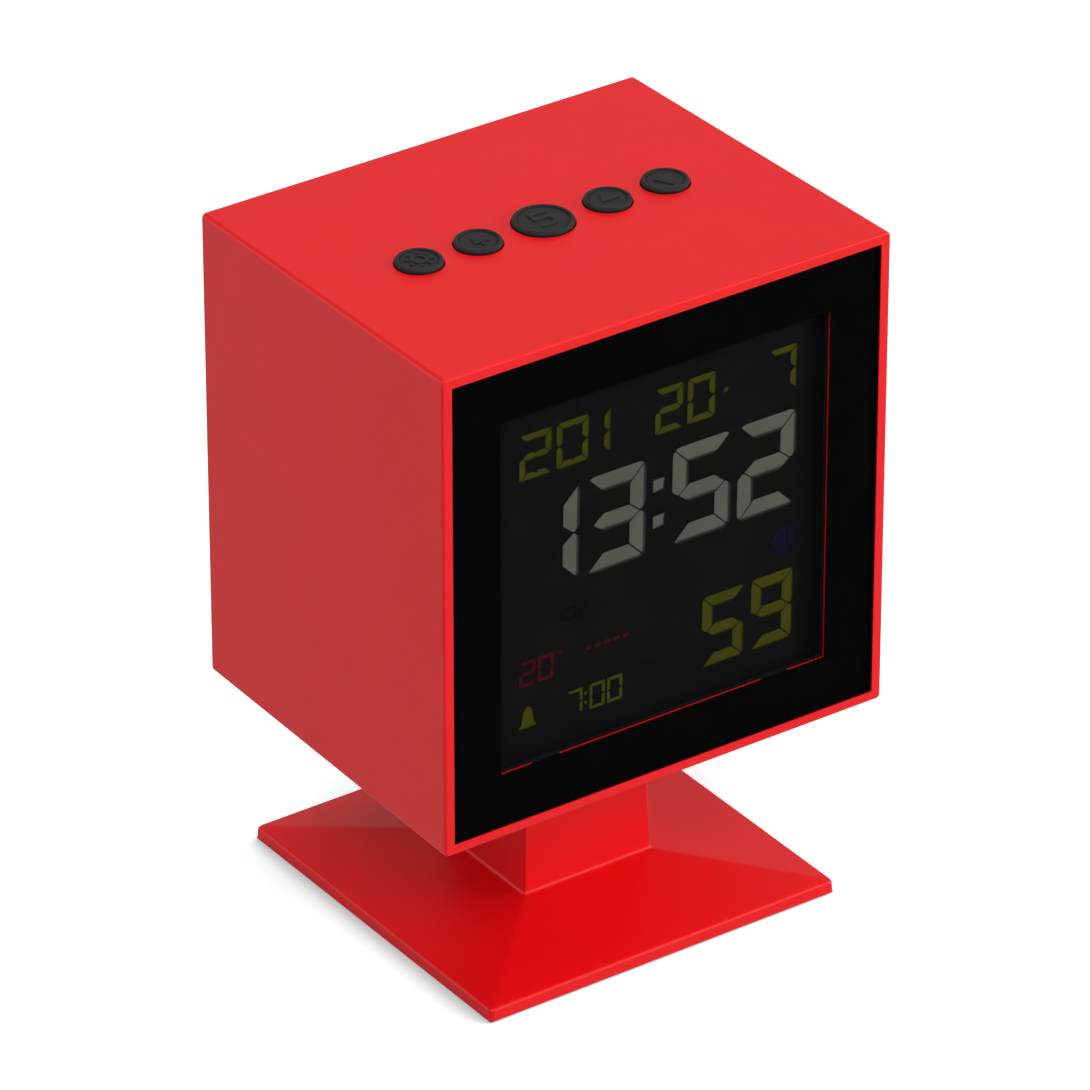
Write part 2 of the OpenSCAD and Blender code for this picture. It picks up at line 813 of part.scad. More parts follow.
// Ear or post with a straight root at each side of the display frame
module side_ears(height, y0, y1) {
    root_l = ear_x - frame_out_w / 2 + BITE;
    for (sx = [-1, 1], sz = [-1, 1])
        translate([sx * ear_x, 0, mid_z + sz * height]) {
            rod_y(ear_r, 0, 0, y0, y1);
            translate([-sx * root_l / 2 - root_l / 2, y0, -ear_r * 0.8])
                cube([root_l, y1 - y0, ear_r * 1.6]);
        }
}

module display_frame() {
    screw_tip_y = board_back_y - board_screw_l;
    color(BLACK)
        difference() {
            union() {
                slab(frame_out_w, frame_out_h, frame_y, board_y);
                side_ears(frame_ear_z, ear_y, ear_y + ear_t);
                side_ears(board_ear_z, frame_boss_y, board_y);
                for (sx = [-1, 1])
                    translate([sx * tab_x - tab_w / 2, flange_y + 0.1, mid_z - step_h / 2 - tab_h])
                        cube([tab_w, flange_t + BITE, tab_h]);
            }
            slab(frame_in_w, frame_in_h, glass_stack_y, board_y + CUT);
            slab(step_w, step_h, flange_y - CUT, glass_stack_y + CUT);
            at_corners_xz(ear_x, frame_ear_z)
                rod_y(small_screw_r + screw_gap, 0, 0, ear_y - CUT, ear_y + ear_t + CUT);
            at_corners_xz(ear_x, board_ear_z)
                rod_y(small_screw_r + pilot_gap, 0, 0, screw_tip_y - tip_room, board_y + CUT);
        }
}

module side_screws(height, y, length) {
    at_corners_xz(ear_x, height)
        translate([0, y, 0])
            rotate([-90, 0, 0])
                screw(small_head_r, small_head_h, small_screw_r, length);
}

module display_frame_screws() {
    color(STEEL)
        side_screws(frame_ear_z, ear_y + ear_t, frame_screw_l);
}

module front_polariser() {
    color(GLASS)
        slab(film_w, film_h, glass_stack_y, front_glass_y);
}

module display_glass() {
    color(GLASS)
        union() {
            slab(glass_w, glass_h, front_glass_y, rear_glass_y);
            slab(glass_w, rear_glass_h, rear_glass_y, rear_polariser_y);
        }
}

module rear_polariser() {
    color(GLASS)
        slab(film_w, film_h, rear_polariser_y, colour_film_y);
}

module colour_film() {
    color(WHITE)
        slab(film_w, film_h, colour_film_y, guide_y);
}

module light_guide() {
    color(CLEAR)
        translate([-film_w / 2, guide_y, mid_z - film_h / 2])
            cube([guide_x + film_w / 2, guide_t, film_h]);
}

module reflector_sheet() {
    color(WHITE)
        slab(film_w, film_h, reflector_y, board_y);
}

module backlight_board() {
    color(GREEN)
        translate([lamp_board_x, guide_y, mid_z - lamp_board_h / 2])
            cube([lamp_board_t, guide_t, lamp_board_h]);
}

module backlight_lamps() {
    color(WHITE)
        for (i = [0:lamp_n - 1])
            translate([lamp_x, guide_y + (guide_t - lamp_d) / 2, mid_z - lamp_h / 2])
                translate([0, 0, lamp_span * (i / (lamp_n - 1) - 0.5)])
                    cube([lamp_t, lamp_d, lamp_h]);
}

module contact_strips() {
    color(RUBBER)
        for (sz = [-1, 1])
            slab(strip_w, strip_t, rear_glass_y, board_y, mid_z + sz * (glass_h - ledge_h) / 2);
}

// Main board

module main_board() {
    color(GREEN)
        difference() {
            union() {
                slab(frame_out_w, frame_out_h, board_y, board_back_y);
                side_ears(board_ear_z, board_y, board_back_y);
            }
            at_corners_xz(ear_x, board_ear_z)
                rod_y(small_screw_r + screw_gap, 0, 0, board_y - CUT, board_back_y + CUT);
        }
}

module main_board_screws() {
    color(STEEL)
        side_screws(board_ear_z, board_back_y, board_screw_l);
}

// Place on the back of the main board, given across and up from its middle
module on_main_board(at) {
    translate([at[0], board_back_y, mid_z + at[1]])
        rotate([-90, 0, 0])
            children();
}

module controller_chip() {
    sphere_r = (chip_r * chip_r + chip_h * chip_h) / (2 * chip_h);
    half_angle = asin(chip_r / sphere_r);
    color(BLACK)
        on_main_board(chip_at)
            rotate_extrude()
                polygon(concat(
                    [[0, 0]],
                    [
                        for (i = [0:8])
                            let (a = half_angle * (1 - i / 8))
                                [sphere_r * sin(a), chip_h - sphere_r * (1 - cos(a))]
                    ]
                ));
}

module quartz_crystal() {
    color(STEEL)
        on_main_board(crystal_at)
            linear_extrude(crystal_h)
                polygon(rounded_rect(crystal_w, crystal_d, crystal_r));
}

module capacitors() {
    color(BLUE)
        for (x = capacitor_xs)
            on_main_board([x, capacitor_z])
                cylinder(r = capacitor_r, h = capacitor_h);
}

module buzzer() {
    color(BLACK)
        on_main_board(buzzer_at)
            difference() {
                cylinder(r = buzzer_r, h = buzzer_h);
                translate([0, 0, buzzer_h - buzzer_hole_l])
                    cylinder(r = buzzer_hole_r, h = buzzer_hole_l + CUT);
            }
}

module thermistor() {
    sink = thermistor_r / 2;
    color(COPPER)
        on_main_board(thermistor_at) {
            for (sx = [-1, 1])
                translate([sx * thermistor_r / 2, 0, 0])
                    cylinder(r = thermistor_lead_r, h = thermistor_lead_l);
            translate([0, 0, thermistor_lead_l + sink])
                sphere(r = thermistor_r);
        }
}

module wire_connectors() {
    plugs = [
        [button_plug_x, button_plug_z],
        [battery_plug_x, battery_plug_z],
        [power_plug_x, power_plug_z]
    ];
    color(WHITE)
        for (p = plugs)
            translate([p[0], 0, 0])
                slab(connector_w, plug_t, board_back_y, plug_back_y, p[1]);
}

// Buttons, switches and their board

// Half section of a button, from its collar's underside to its dished top
function button_outline(r, top) =
    let (
        rim_r = r - button_round,
        dish_r = rim_r - button_rim,
        dish_z = top - button_dish
    )
        concat(
            [[0, shank_z], [r + collar_w, shank_z], [r + collar_w, collar_z], [r, collar_z]],
            [
                for (i = [0:4])
                    let (a = 90 * i / 4)
                        [rim_r + button_round * cos(a), top - button_round * (1 - sin(a))]
            ],
            [[dish_r + button_dish, top], [dish_r, dish_z], [0, dish_z]]
        );

module button(i) {
    color(RUBBER)
        translate([button_xs[i], 0, 0])
            union() {
                rotate_extrude()
                    polygon(button_outline(button_dias[i] / 2, case_top_z + button_proud));
                rod_z(shank_dia / 2, 0, 0, stem_top_z, shank_z + BITE);
            }
}

module stem(i) {
    color(WHITE)
        rod_z(stem_dia / 2, button_xs[i], 0, switch_top_z - stem_in, stem_top_z);
}

module switch_bodies() {
    well_z = switch_top_z - stem_in - button_travel - 0.2;
    color(BLACK)
        for (x = button_xs)
            difference() {
                translate([x - switch_w / 2, -switch_w / 2, button_board_z])
                    cube([switch_w, switch_w, switch_h]);
                rod_z(stem_dia / 2 + stem_gap, x, 0, well_z, switch_top_z + CUT);
            }
}

module button_board() {
    color(GREEN)
        difference() {
            translate([-button_board_w / 2, -button_board_d / 2, button_board_under_z])
                cube([button_board_w, button_board_d, board_t]);
            for (sx = [-1, 1])
                rod_z(small_screw_r + screw_gap, sx * button_post_x, 0,
                    button_board_under_z - CUT, button_board_z + CUT);
        }
}

module button_board_screws() {
    color(STEEL)
        for (sx = [-1, 1])
            translate([sx * button_post_x, 0, button_board_under_z])
                rotate([180, 0, 0])
                    screw(small_head_r, small_head_h, small_screw_r, button_screw_l);
}

module button_cable() {
    end_y = -button_board_d / 4;
    drop = 3;
    turn = 3;
    color(WHITE)
        ribbon(
            [
                [plug_back_y, button_plug_z],
                [plug_back_y + lead_run, button_plug_z],
                [end_y - turn, button_board_under_z - drop - turn / 3],
                [end_y, button_board_under_z - drop],
                [end_y, button_board_under_z]
            ],
            button_ribbon_w, button_plug_x
        );
}

// Rear cover, battery bay and door

module rear_cover() {
    pin_hole_l = hinge_pin_l + 2 * door_gap;
    color(RED)
        difference() {
            union() {
                plate_y(cover_w, cover_h, cover_corner_r, cover_y, cover_t);
                slab(bay_w + 2 * bay_wall, bay_h + 2 * bay_wall, bay_front_y, cover_y + BITE, bay_mid_z);
                for (sx = [-1, 1])
                    translate([sx * socket_screw_x, 0, 0])
                        slab(bracket_w, bracket_h, socket_board_y, cover_y + BITE,
                            socket_board_under_z - bracket_h / 2);
            }
            slab(bay_w, bay_h, bay_floor_y, back_y + CUT, bay_mid_z);
            slab(door_w + 2 * door_gap, door_h + 2 * door_gap, cover_y, back_y + CUT, bay_mid_z);
            slab(notch_w, 2 * notch_h, back_y - notch_t, back_y + CUT, door_low_z - door_gap);
            for (sx = [-1, 1])
                translate([sx * (door_w / 2 + hinge_pin_l / 2), hinge_y, hinge_z])
                    rotate([0, 90, 0])
                        cylinder(r = hinge_pin_r + hinge_gap, h = pin_hole_l, center = true);
            for (i = [0:slot_n - 1])
                translate([0, 0, slot_pitch * (i - (slot_n - 1) / 2)])
                    slab(slot_w, slot_h, cover_y - CUT, back_y + CUT, mid_z + slot_z);
            slab(socket_w + 2 * loose_gap, socket_h + 2 * loose_gap,
                cover_y - CUT, back_y + CUT, socket_mid_z);
            for (sx = [-1, 1])
                rod_z(small_screw_r + pilot_gap, sx * socket_screw_x, socket_screw_y,
                    socket_board_top_z - socket_screw_l, socket_board_under_z + CUT);
            at_corners_xz(post_x, post_z) {
                rod_y(case_screw_r + screw_gap, 0, 0, cover_y - CUT, back_y + CUT);
                rod_y(case_head_r + screw_gap, 0, 0, back_y - case_head_h, back_y + CUT);
            }
        }
}

module rear_cover_screws() {
    head_sink = 0.1;
    color(STEEL)
        at_corners_xz(post_x, post_z)
            translate([0, back_y - case_head_h, 0])
                rotate([-90, 0, 0])
                    screw(case_head_r, case_head_h - head_sink, case_screw_r, case_screw_l);
}

// Side view of the door: a plate with a round top edge about the hinge axis
function door_outline() = concat(
    [[back_y, hinge_z - door_h + door_r], [back_y, hinge_z]],
    [
        for (i = [1:11])
            let (a = 180 * i / 12)
                [hinge_y + door_r * cos(a), hinge_z + door_r * sin(a)]
    ],
    [[cover_y, hinge_z], [cover_y, hinge_z - door_h + door_r]]
);

module battery_door() {
    tongue_z = bay_mid_z - bay_h / 2 + tongue_room;
    color(RED)
        union() {
            translate([-door_w / 2, 0, 0])
                rotate([90, 0, 90])
                    linear_extrude(door_w)
                        polygon(door_outline());
            for (sx = [-1, 1])
                translate([sx * (door_w / 2 + hinge_pin_l / 2 - BITE / 2), hinge_y, hinge_z])
                    rotate([0, 90, 0])
                        cylinder(r = hinge_pin_r, h = hinge_pin_l + BITE, center = true);
            translate([-tongue_w / 2, cover_y - tongue_l, tongue_z])
                cube([tongue_w, tongue_l + BITE, tongue_t]);
        }
}

// Heights of the battery cells
function cell_z(i) = bay_mid_z + cell_pitch * (i - (cell_n - 1) / 2);

module battery_cells() {
    color(STEEL)
        for (i = [0:cell_n - 1])
            translate([0, cell_y, cell_z(i)])
                rotate([0, i % 2 == 0 ? 90 : -90, 0])
                    union() {
                        translate([0, 0, -cell_l / 2])
                            cylinder(r = cell_dia / 2, h = cell_l - cell_button_l);
                        translate([0, 0, cell_l / 2 - cell_button_l - BITE])
                            cylinder(r = cell_button_r, h = cell_button_l + BITE);
                    }
}

module battery_contacts() {
    leaf_h = cell_dia * 0.6;
    tip_gap = 0.05;
    wall_x = bay_w / 2;
    tip_x = cell_l / 2 + tip_gap;
    leaf_in_y = bay_floor_y + 0.3;
    leaf_out_y = cell_y + cell_dia * 0.3;
    bow = cell_button_r;
    color(COPPER)
        for (sx = [0, 1], i = [0:cell_n - 1])
            mirror([sx, 0, 0])
                translate([0, 0, cell_z(i) - leaf_h / 2])
                    linear_extrude(leaf_h)
                        polygon([
                            [wall_x, leaf_in_y], [wall_x, leaf_out_y],
                            [wall_x - contact_t, leaf_out_y],
                            [tip_x, cell_y + bow / 2], [tip_x, cell_y - bow / 2],
                            [tip_x + contact_t, cell_y - bow / 2], [tip_x + contact_t, cell_y + bow / 4],
                            [wall_x - contact_t, leaf_out_y - 2 * contact_t],
                            [wall_x - contact_t, leaf_in_y]
                        ]);
}

module battery_lead() {
    color(BLACK)
        ribbon(
            [
                [bay_front_y, bay_mid_z],
                [bay_front_y - lead_run, bay_mid_z],
                [plug_back_y + lead_run, battery_plug_z],
                [plug_back_y, battery_plug_z]
            ],
            lead_w, battery_plug_x
        );
}

// Power socket

module socket_shell() {
    color(STEEL)
        difference() {
            slab(socket_w, socket_h, socket_back_y, back_y - socket_recess, socket_mid_z);
            slab(socket_w - 2 * socket_sheet, socket_h - 2 * socket_sheet,
                socket_back_y + socket_sheet, back_y + CUT, socket_mid_z);
        }
}

module socket_tongue() {
    mouth_room = 1.5;
    color(BLACK)
        slab(socket_w * 0.7, socket_h * 0.24, socket_back_y + socket_sheet,
            back_y - socket_recess - mouth_room, socket_mid_z);
}

module socket_board() {
    color(GREEN)
        difference() {
            translate([-socket_board_w / 2, socket_board_y, socket_board_under_z])
                cube([socket_board_w, socket_board_l, socket_board_t]);
            for (sx = [-1, 1])
                rod_z(small_screw_r + screw_gap, sx * socket_screw_x, socket_screw_y,
                    socket_board_under_z - CUT, socket_board_top_z + CUT);
        }
}

module socket_board_screws() {
    color(STEEL)
        for (sx = [-1, 1])
            translate([sx * socket_screw_x, socket_screw_y, socket_board_top_z])
                screw(small_head_r, small_head_h, small_screw_r, socket_screw_l - tip_room);
}

module power_lead() {
    start_z = socket_board_top_z - socket_board_t / 2;
    color(BLACK)
        ribbon(
            [
                [socket_board_y, start_z],
                [socket_board_y - lead_run, start_z],
                [plug_back_y + lead_run, power_plug_z],
                [plug_back_y, power_plug_z]
            ],
            lead_w, power_plug_x
        );
}

stand_shell();
base_plate();
base_plate_screws();
base_feet();
neck_screws();
case_shell();
front_lens();
lens_mask();
lens_tape();
display_frame();
display_frame_screws();
front_polariser();
display_glass();
rear_polariser();
colour_film();
light_guide();
reflector_sheet();
backlight_board();
backlight_lamps();
contact_strips();
main_board();
main_board_screws();
controller_chip();
quartz_crystal();
capacitors();
buzzer();
thermistor();
wire_connectors();
button(0);  // button_setting
button(1);  // button_alarm
button(2);  // button_snooze
button(3);  // button_up
button(4);  // button_down
stem(0);  // stem_setting
stem(1);  // stem_alarm
stem(2);  // stem_snooze
stem(3);  // stem_up
stem(4);  // stem_down
switch_bodies();
button_board();
button_board_screws();
button_cable();
rear_cover();
rear_cover_screws();
battery_door();
battery_cells();
battery_contacts();
battery_lead();
socket_shell();
socket_tongue();
socket_board();
socket_board_screws();
power_lead();
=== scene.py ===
"""Looks of a cube-shaped digital alarm clock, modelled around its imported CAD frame.

Sizes are in millimetres in the CAD model's own frame: origin under the middle of the base,
front towards -Y, +Z up.
"""

from __future__ import annotations

import json
import logging
import math
from dataclasses import dataclass, field
from enum import Enum
from typing import Callable, Iterable, Sequence

import bmesh
import bpy
from mathutils import Matrix, Vector

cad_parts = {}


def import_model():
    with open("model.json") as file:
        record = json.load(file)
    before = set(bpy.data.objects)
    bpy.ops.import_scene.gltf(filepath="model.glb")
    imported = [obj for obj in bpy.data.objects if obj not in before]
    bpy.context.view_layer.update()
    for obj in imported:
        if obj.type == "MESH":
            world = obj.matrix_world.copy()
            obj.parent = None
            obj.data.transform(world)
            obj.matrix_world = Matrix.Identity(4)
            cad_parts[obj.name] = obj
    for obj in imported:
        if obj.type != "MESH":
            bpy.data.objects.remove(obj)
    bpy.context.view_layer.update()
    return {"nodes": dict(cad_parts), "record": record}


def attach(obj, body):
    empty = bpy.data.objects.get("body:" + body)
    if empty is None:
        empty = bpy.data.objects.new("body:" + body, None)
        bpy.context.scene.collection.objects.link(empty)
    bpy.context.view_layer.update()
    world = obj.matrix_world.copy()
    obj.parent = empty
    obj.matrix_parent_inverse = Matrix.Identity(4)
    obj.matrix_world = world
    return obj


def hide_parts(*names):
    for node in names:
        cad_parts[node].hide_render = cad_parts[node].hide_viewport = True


LOG = logging.getLogger("clock")
MM = 0.001
NEAR = 0.01  # millimetres within which a place counts as met
ALONG = 0.9  # least share of a direction that counts as along an axis
PAST = 1.0  # millimetres that a cutter goes past the face that it opens
OVERLAP = 0.4  # millimetres that a body reaches into the one that it joins
SHARP_ANGLE = 32.0  # degrees from which an edge is shaded sharp
NOISE_SPAN = (0.3, 0.7)  # where most values of a noise lie

Point = Sequence[float]
Span = tuple[float, float]
Outline = Sequence[tuple[float, float]]
Colour = tuple[float, float, float]
Mesh = bpy.types.Object
PickTest = Callable[[Vector, Vector], bool]


class Body(Enum):
    """The bodies of the CAD model that a piece can ride on."""

    CLOCK = "clock"
    SETTING = "setting_key"
    ALARM = "alarm_key"
    SNOOZE = "snooze_key"
    UP = "up_key"
    DOWN = "down_key"
    LID = "battery_lid"


class Axis(Enum):
    """Direction that a turned piece grows in, as the turn that takes +Z there."""

    UP = (0.0, 0.0, 0.0)
    DOWN = (math.pi, 0.0, 0.0)
    BACK = (-math.pi / 2, 0.0, 0.0)
    RIGHT = (0.0, math.pi / 2, 0.0)


class Pick(Enum):
    """What is selected in edit mode."""

    FACES = "FACE"
    EDGES = "EDGE"


class Blend(Enum):
    """How a body changes a piece."""

    CUT = "DIFFERENCE"
    JOIN = "UNION"


class Segment(Enum):
    """One bar of a seven-bar digit, by its middle as shares of the digit's width and height."""

    TOP = (0.5, 1.0)
    UPPER_RIGHT = (1.0, 0.75)
    LOWER_RIGHT = (1.0, 0.25)
    BOTTOM = (0.5, 0.0)
    LOWER_LEFT = (0.0, 0.25)
    UPPER_LEFT = (0.0, 0.75)
    MIDDLE = (0.5, 0.5)


T, UR, LR, B, LL, UL, M = Segment
DIGITS: dict[str, tuple[Segment, ...]] = {
    "0": (T, UR, LR, B, LL, UL),
    "1": (UR, LR),
    "2": (T, UR, M, LL, B),
    "3": (T, UR, M, LR, B),
    "5": (T, UL, M, LR, B),
    "7": (T, UR, LR),
    "9": (T, UL, UR, M, LR, B),
}


def upward(middle: Vector, normal: Vector) -> bool:
    """Picks the faces that look up."""
    return normal.z > ALONG


def along_depth(middle: Vector, way: Vector) -> bool:
    """Picks the edges that run along Y."""
    return abs(way.y) > ALONG


def at_depth(y: float) -> PickTest:
    """Returns the test that picks what lies at a depth."""
    return lambda middle, way: abs(middle.y - y) < NEAR


def walls_and_floor(y: float) -> PickTest:
    """Returns the test that picks the edges along Y and those at a depth."""
    return lambda middle, way: abs(way.y) > ALONG or abs(middle.y - y) < NEAR


class Bench:
    """Shapes meshes with Blender's operators. All sizes that it takes are in millimetres."""

    @staticmethod
    def clear() -> None:
        """Leaves edit mode and deselects everything."""
        active = bpy.context.view_layer.objects.active
        if active is not None and active.mode != "OBJECT":
            bpy.ops.object.mode_set(mode="OBJECT")
        bpy.ops.object.select_all(action="DESELECT")

    @staticmethod
    def pick(*objs: Mesh) -> None:
        """Selects some objects alone and makes the first one active.

        Args:
            objs: The objects.
        """
        Bench.clear()
        for obj in objs:
            obj.select_set(True)
        bpy.context.view_layer.objects.active = objs[0]

    @staticmethod
    def settle(name: str) -> Mesh:
        """Names the active object and moves its place into its mesh.

        Args:
            name: The new name of the object and its mesh.

        Returns:
            The object, at the origin, unturned and unscaled.
        """
        obj = bpy.context.view_layer.objects.active
        obj.name = name
        obj.data.name = name
        Bench.pick(obj)
        bpy.ops.object.transform_apply(location=True, rotation=True, scale=True)
        return obj

    @staticmethod
    def box(name: str, low: Point, high: Point) -> Mesh:
        """Adds a cube and stretches it between two corners.

        Args:
            name: Name of the piece.
            low: Lowest corner.
            high: Highest corner.

        Returns:
            The box.
        """
        Bench.clear()
        bpy.ops.mesh.primitive_cube_add(
            size=1,
            location=[(a + b) / 2 * MM for a, b in zip(low, high)],
            scale=[(b - a) * MM for a, b in zip(low, high)],
        )
        return Bench.settle(name)

    @staticmethod
    def block(name: str, z: float, half_x: float, half_z: float, near: float, far: float) -> Mesh:
        """Adds a box around x = 0 and a height, from one depth to another."""
        return Bench.box(name, (-half_x, near, z - half_z), (half_x, far, z + half_z))

    @staticmethod
    def grow(sections: Sequence[tuple[float, float]]) -> None:
        """Extrudes the selected face upwards, and scales it at each section.

        Args:
            sections: Width and height of each section. The face lies in the first one.
        """
        for (width, height), (next_width, next_height) in zip(sections, sections[1:]):
            bpy.ops.mesh.extrude_region_move(
                TRANSFORM_OT_translate={"value": (0, 0, (next_height - height) * MM)}
            )
            share = next_width / width
            bpy.ops.transform.resize(value=(share, share, 1), center_override=(0, 0, next_height * MM))

    @staticmethod
    def turned(
        name: str, foot: Point, axis: Axis, rings: Sequence[tuple[float, float]], sides: int = 48
    ) -> Mesh:
        """Builds a round piece ring by ring, from a disc that is extruded and scaled.

        Args:
            name: Name of the piece.
            foot: Point on the axis that the heights count from.
            axis: Direction that the heights grow in.
            rings: Radius and height of each ring, from the foot to the top.
            sides: Number of sides of the piece.

        Returns:
            The closed piece.
        """
        Bench.clear()
        radius, height = rings[0]
        bpy.ops.mesh.primitive_circle_add(vertices=sides, radius=radius * MM, fill_type="NGON")
        bpy.ops.object.mode_set(mode="EDIT")
        bpy.ops.mesh.select_all(action="SELECT")
        bpy.ops.transform.translate(value=(0, 0, height * MM))
        Bench.grow(rings)
        bpy.ops.mesh.select_all(action="SELECT")
        bpy.ops.mesh.normals_make_consistent(inside=False)
        bpy.ops.object.mode_set(mode="OBJECT")
        obj = bpy.context.view_layer.objects.active
        obj.rotation_euler = axis.value
        obj.location = [c * MM for c in foot]
        return Bench.settle(name)

    @staticmethod
    def rod(name: str, foot: Point, axis: Axis, radius: float, span: Span, sides: int = 32) -> Mesh:
        """Adds a plain round rod over a span of heights above its foot."""
        return Bench.turned(name, foot, axis, [(radius, height) for height in span], sides)

    @staticmethod
    def flat(name: str, outline: Outline, low: float, high: float) -> Mesh:
        """Extrudes a disc whose corners are moved to an outline.

        Args:
            name: Name of the piece.
            outline: Corners across and up, counter-clockwise or clockwise.
            low: Height of the underside.
            high: Height of the top.

        Returns:
            The closed piece, on the XY plane.
        """
        Bench.clear()
        bpy.ops.mesh.primitive_circle_add(vertices=len(outline), radius=MM, fill_type="NGON")
        bpy.ops.object.mode_set(mode="EDIT")
        mesh = bmesh.from_edit_mesh(bpy.context.object.data)
        mesh.verts.ensure_lookup_table()
        for vertex, (x, y) in zip(mesh.verts, outline):
            vertex.co = Vector((x, y, low)) * MM
        bmesh.update_edit_mesh(bpy.context.object.data)
        bpy.ops.mesh.select_all(action="SELECT")
        bpy.ops.mesh.extrude_region_move(TRANSFORM_OT_translate={"value": (0, 0, (high - low) * MM)})
        bpy.ops.mesh.select_all(action="SELECT")
        bpy.ops.mesh.normals_make_consistent(inside=False)
        bpy.ops.object.mode_set(mode="OBJECT")
        return Bench.settle(name)

    @staticmethod
    def stacked(name: str, sections: Sequence[tuple[float, float]]) -> Mesh:
        """Builds an upright square piece, section by section, by extruding the top face.

        Args:
            name: Name of the piece.
            sections: Width and height of each square section, from the lowest up.

        Returns:
            The closed piece, with plain edges.
        """
        (width, low), (next_width, high) = sections[:2]
        obj = Bench.box(name, (-width / 2, -width / 2, low), (width / 2, width / 2, high))
        Bench.edit(obj, Pick.FACES, upward)
        share = next_width / width
        bpy.ops.transform.resize(value=(share, share, 1), center_override=(0, 0, high * MM))
        Bench.grow(sections[1:])
        Bench.clear()
        return obj

    @staticmethod
    def edit(obj: Mesh, kind: Pick, test: PickTest) -> int:
        """Enters edit mode with the faces or edges selected that pass a test.

        Args:
            obj: The piece to edit.
            kind: Whether faces or edges are picked.
            test: Gets the middle in millimetres and the normal or direction, and says if it is picked.

        Returns:
            How many faces or edges were picked.
        """
        Bench.pick(obj)
        bpy.ops.object.mode_set(mode="EDIT")
        bpy.ops.mesh.select_mode(type=kind.value)
        bpy.ops.mesh.select_all(action="DESELECT")
        mesh = bmesh.from_edit_mesh(obj.data)
        count = 0
        for item in mesh.faces if kind is Pick.FACES else mesh.edges:
            if kind is Pick.FACES:
                middle, way = item.calc_center_median(), item.normal
            else:
                ends = [v.co for v in item.verts]
                middle, way = (ends[0] + ends[1]) / 2, (ends[1] - ends[0]).normalized()
            if test(middle / MM, way):
                item.select_set(True)
                count += 1
        mesh.select_flush_mode()
        bmesh.update_edit_mesh(obj.data)
        return count

    @staticmethod
    def bevel(obj: Mesh, test: PickTest, width: float, steps: int) -> None:
        """Rounds the edges that pass a test.

        Args:
            obj: The piece.
            test: Gets an edge's middle in millimetres and its direction.
            width: Width of the rounding.
            steps: Number of facets across the rounding.
        """
        if Bench.edit(obj, Pick.EDGES, test):
            bpy.ops.mesh.bevel(
                offset=width * MM, offset_type="OFFSET", segments=steps, affect="EDGES", clamp_overlap=True
            )
        Bench.clear()

    @staticmethod
    def join_by(obj: Mesh, blend: Blend, tools: Iterable[Mesh]) -> None:
        """Applies a Boolean modifier for each tool, and deletes the tools.

        Args:
            obj: The piece that is kept.
            blend: What the tools do to the piece.
            tools: The other bodies.
        """
        for tool in tools:
            Bench.pick(obj)
            modifier = obj.modifiers.new("tool", "BOOLEAN")
            modifier.operation = blend.value
            modifier.solver = "EXACT"
            modifier.object = tool
            bpy.ops.object.modifier_apply(modifier=modifier.name)
            bpy.data.objects.remove(tool)

    @staticmethod
    def cut(obj: Mesh, *tools: Mesh) -> None:
        """Takes some bodies away from a piece."""
        Bench.join_by(obj, Blend.CUT, tools)

    @staticmethod
    def unite(obj: Mesh, *tools: Mesh) -> None:
        """Adds some bodies to a piece."""
        Bench.join_by(obj, Blend.JOIN, tools)

    @staticmethod
    def merge(name: str, objs: Sequence[Mesh]) -> Mesh:
        """Joins separate bodies into one object.

        Args:
            name: Name of the joined piece.
            objs: The bodies.

        Returns:
            The joined piece.
        """
        Bench.pick(*objs)
        if len(objs) > 1:
            bpy.ops.object.join()
        return Bench.settle(name)

    @staticmethod
    def copy(obj: Mesh, name: str, matrix: Matrix) -> Mesh:
        """Copies a piece with its own mesh.

        Args:
            obj: The piece to copy.
            name: Name of the copy.
            matrix: Where the copy goes, in metres.

        Returns:
            The copy, with its place in its mesh.
        """
        twin = bpy.data.objects.new(name, obj.data.copy())
        twin.data.name = name
        twin.data.transform(matrix)
        bpy.context.scene.collection.objects.link(twin)
        return twin

    @staticmethod
    def repeat(name: str, part: Mesh, spots: Iterable[Matrix]) -> Mesh:
        """Copies a body to some places and joins the copies into one piece.

        Args:
            name: Name of the piece.
            part: The body, which is deleted.
            spots: Where each copy goes, in metres.

        Returns:
            The joined piece.
        """
        copies = [Bench.copy(part, name, spot) for spot in spots]
        bpy.data.objects.remove(part)
        return Bench.merge(name, copies)

    @staticmethod
    def smooth(obj: Mesh, angle: float) -> None:
        """Shades round edges smooth and keeps flat faces flat.

        Args:
            obj: The piece.
            angle: Edges sharper than this, in degrees, stay sharp.
        """
        Bench.pick(obj)
        bpy.ops.object.shade_smooth_by_angle(angle=math.radians(angle))
        modifier = obj.modifiers.new("flat_faces", "WEIGHTED_NORMAL")
        modifier.keep_sharp = True
        bpy.ops.object.modifier_apply(modifier=modifier.name)


def place(x: float, y: float, z: float) -> Matrix:
    """Returns the matrix that moves a mesh by some millimetres."""
    return Matrix.Translation(Vector((x, y, z)) * MM)


def corners(distance: float) -> list[tuple[float, float]]:
    """Returns the four corners of a square around the origin, at a distance along both axes."""
    return [(x * distance, y * distance) for x in (-1, 1) for y in (-1, 1)]


def row(count: int, pitch: float) -> list[float]:
    """Returns the places of some pieces in an even row around 0."""
    return [pitch * (step - (count - 1) / 2) for step in range(count)]


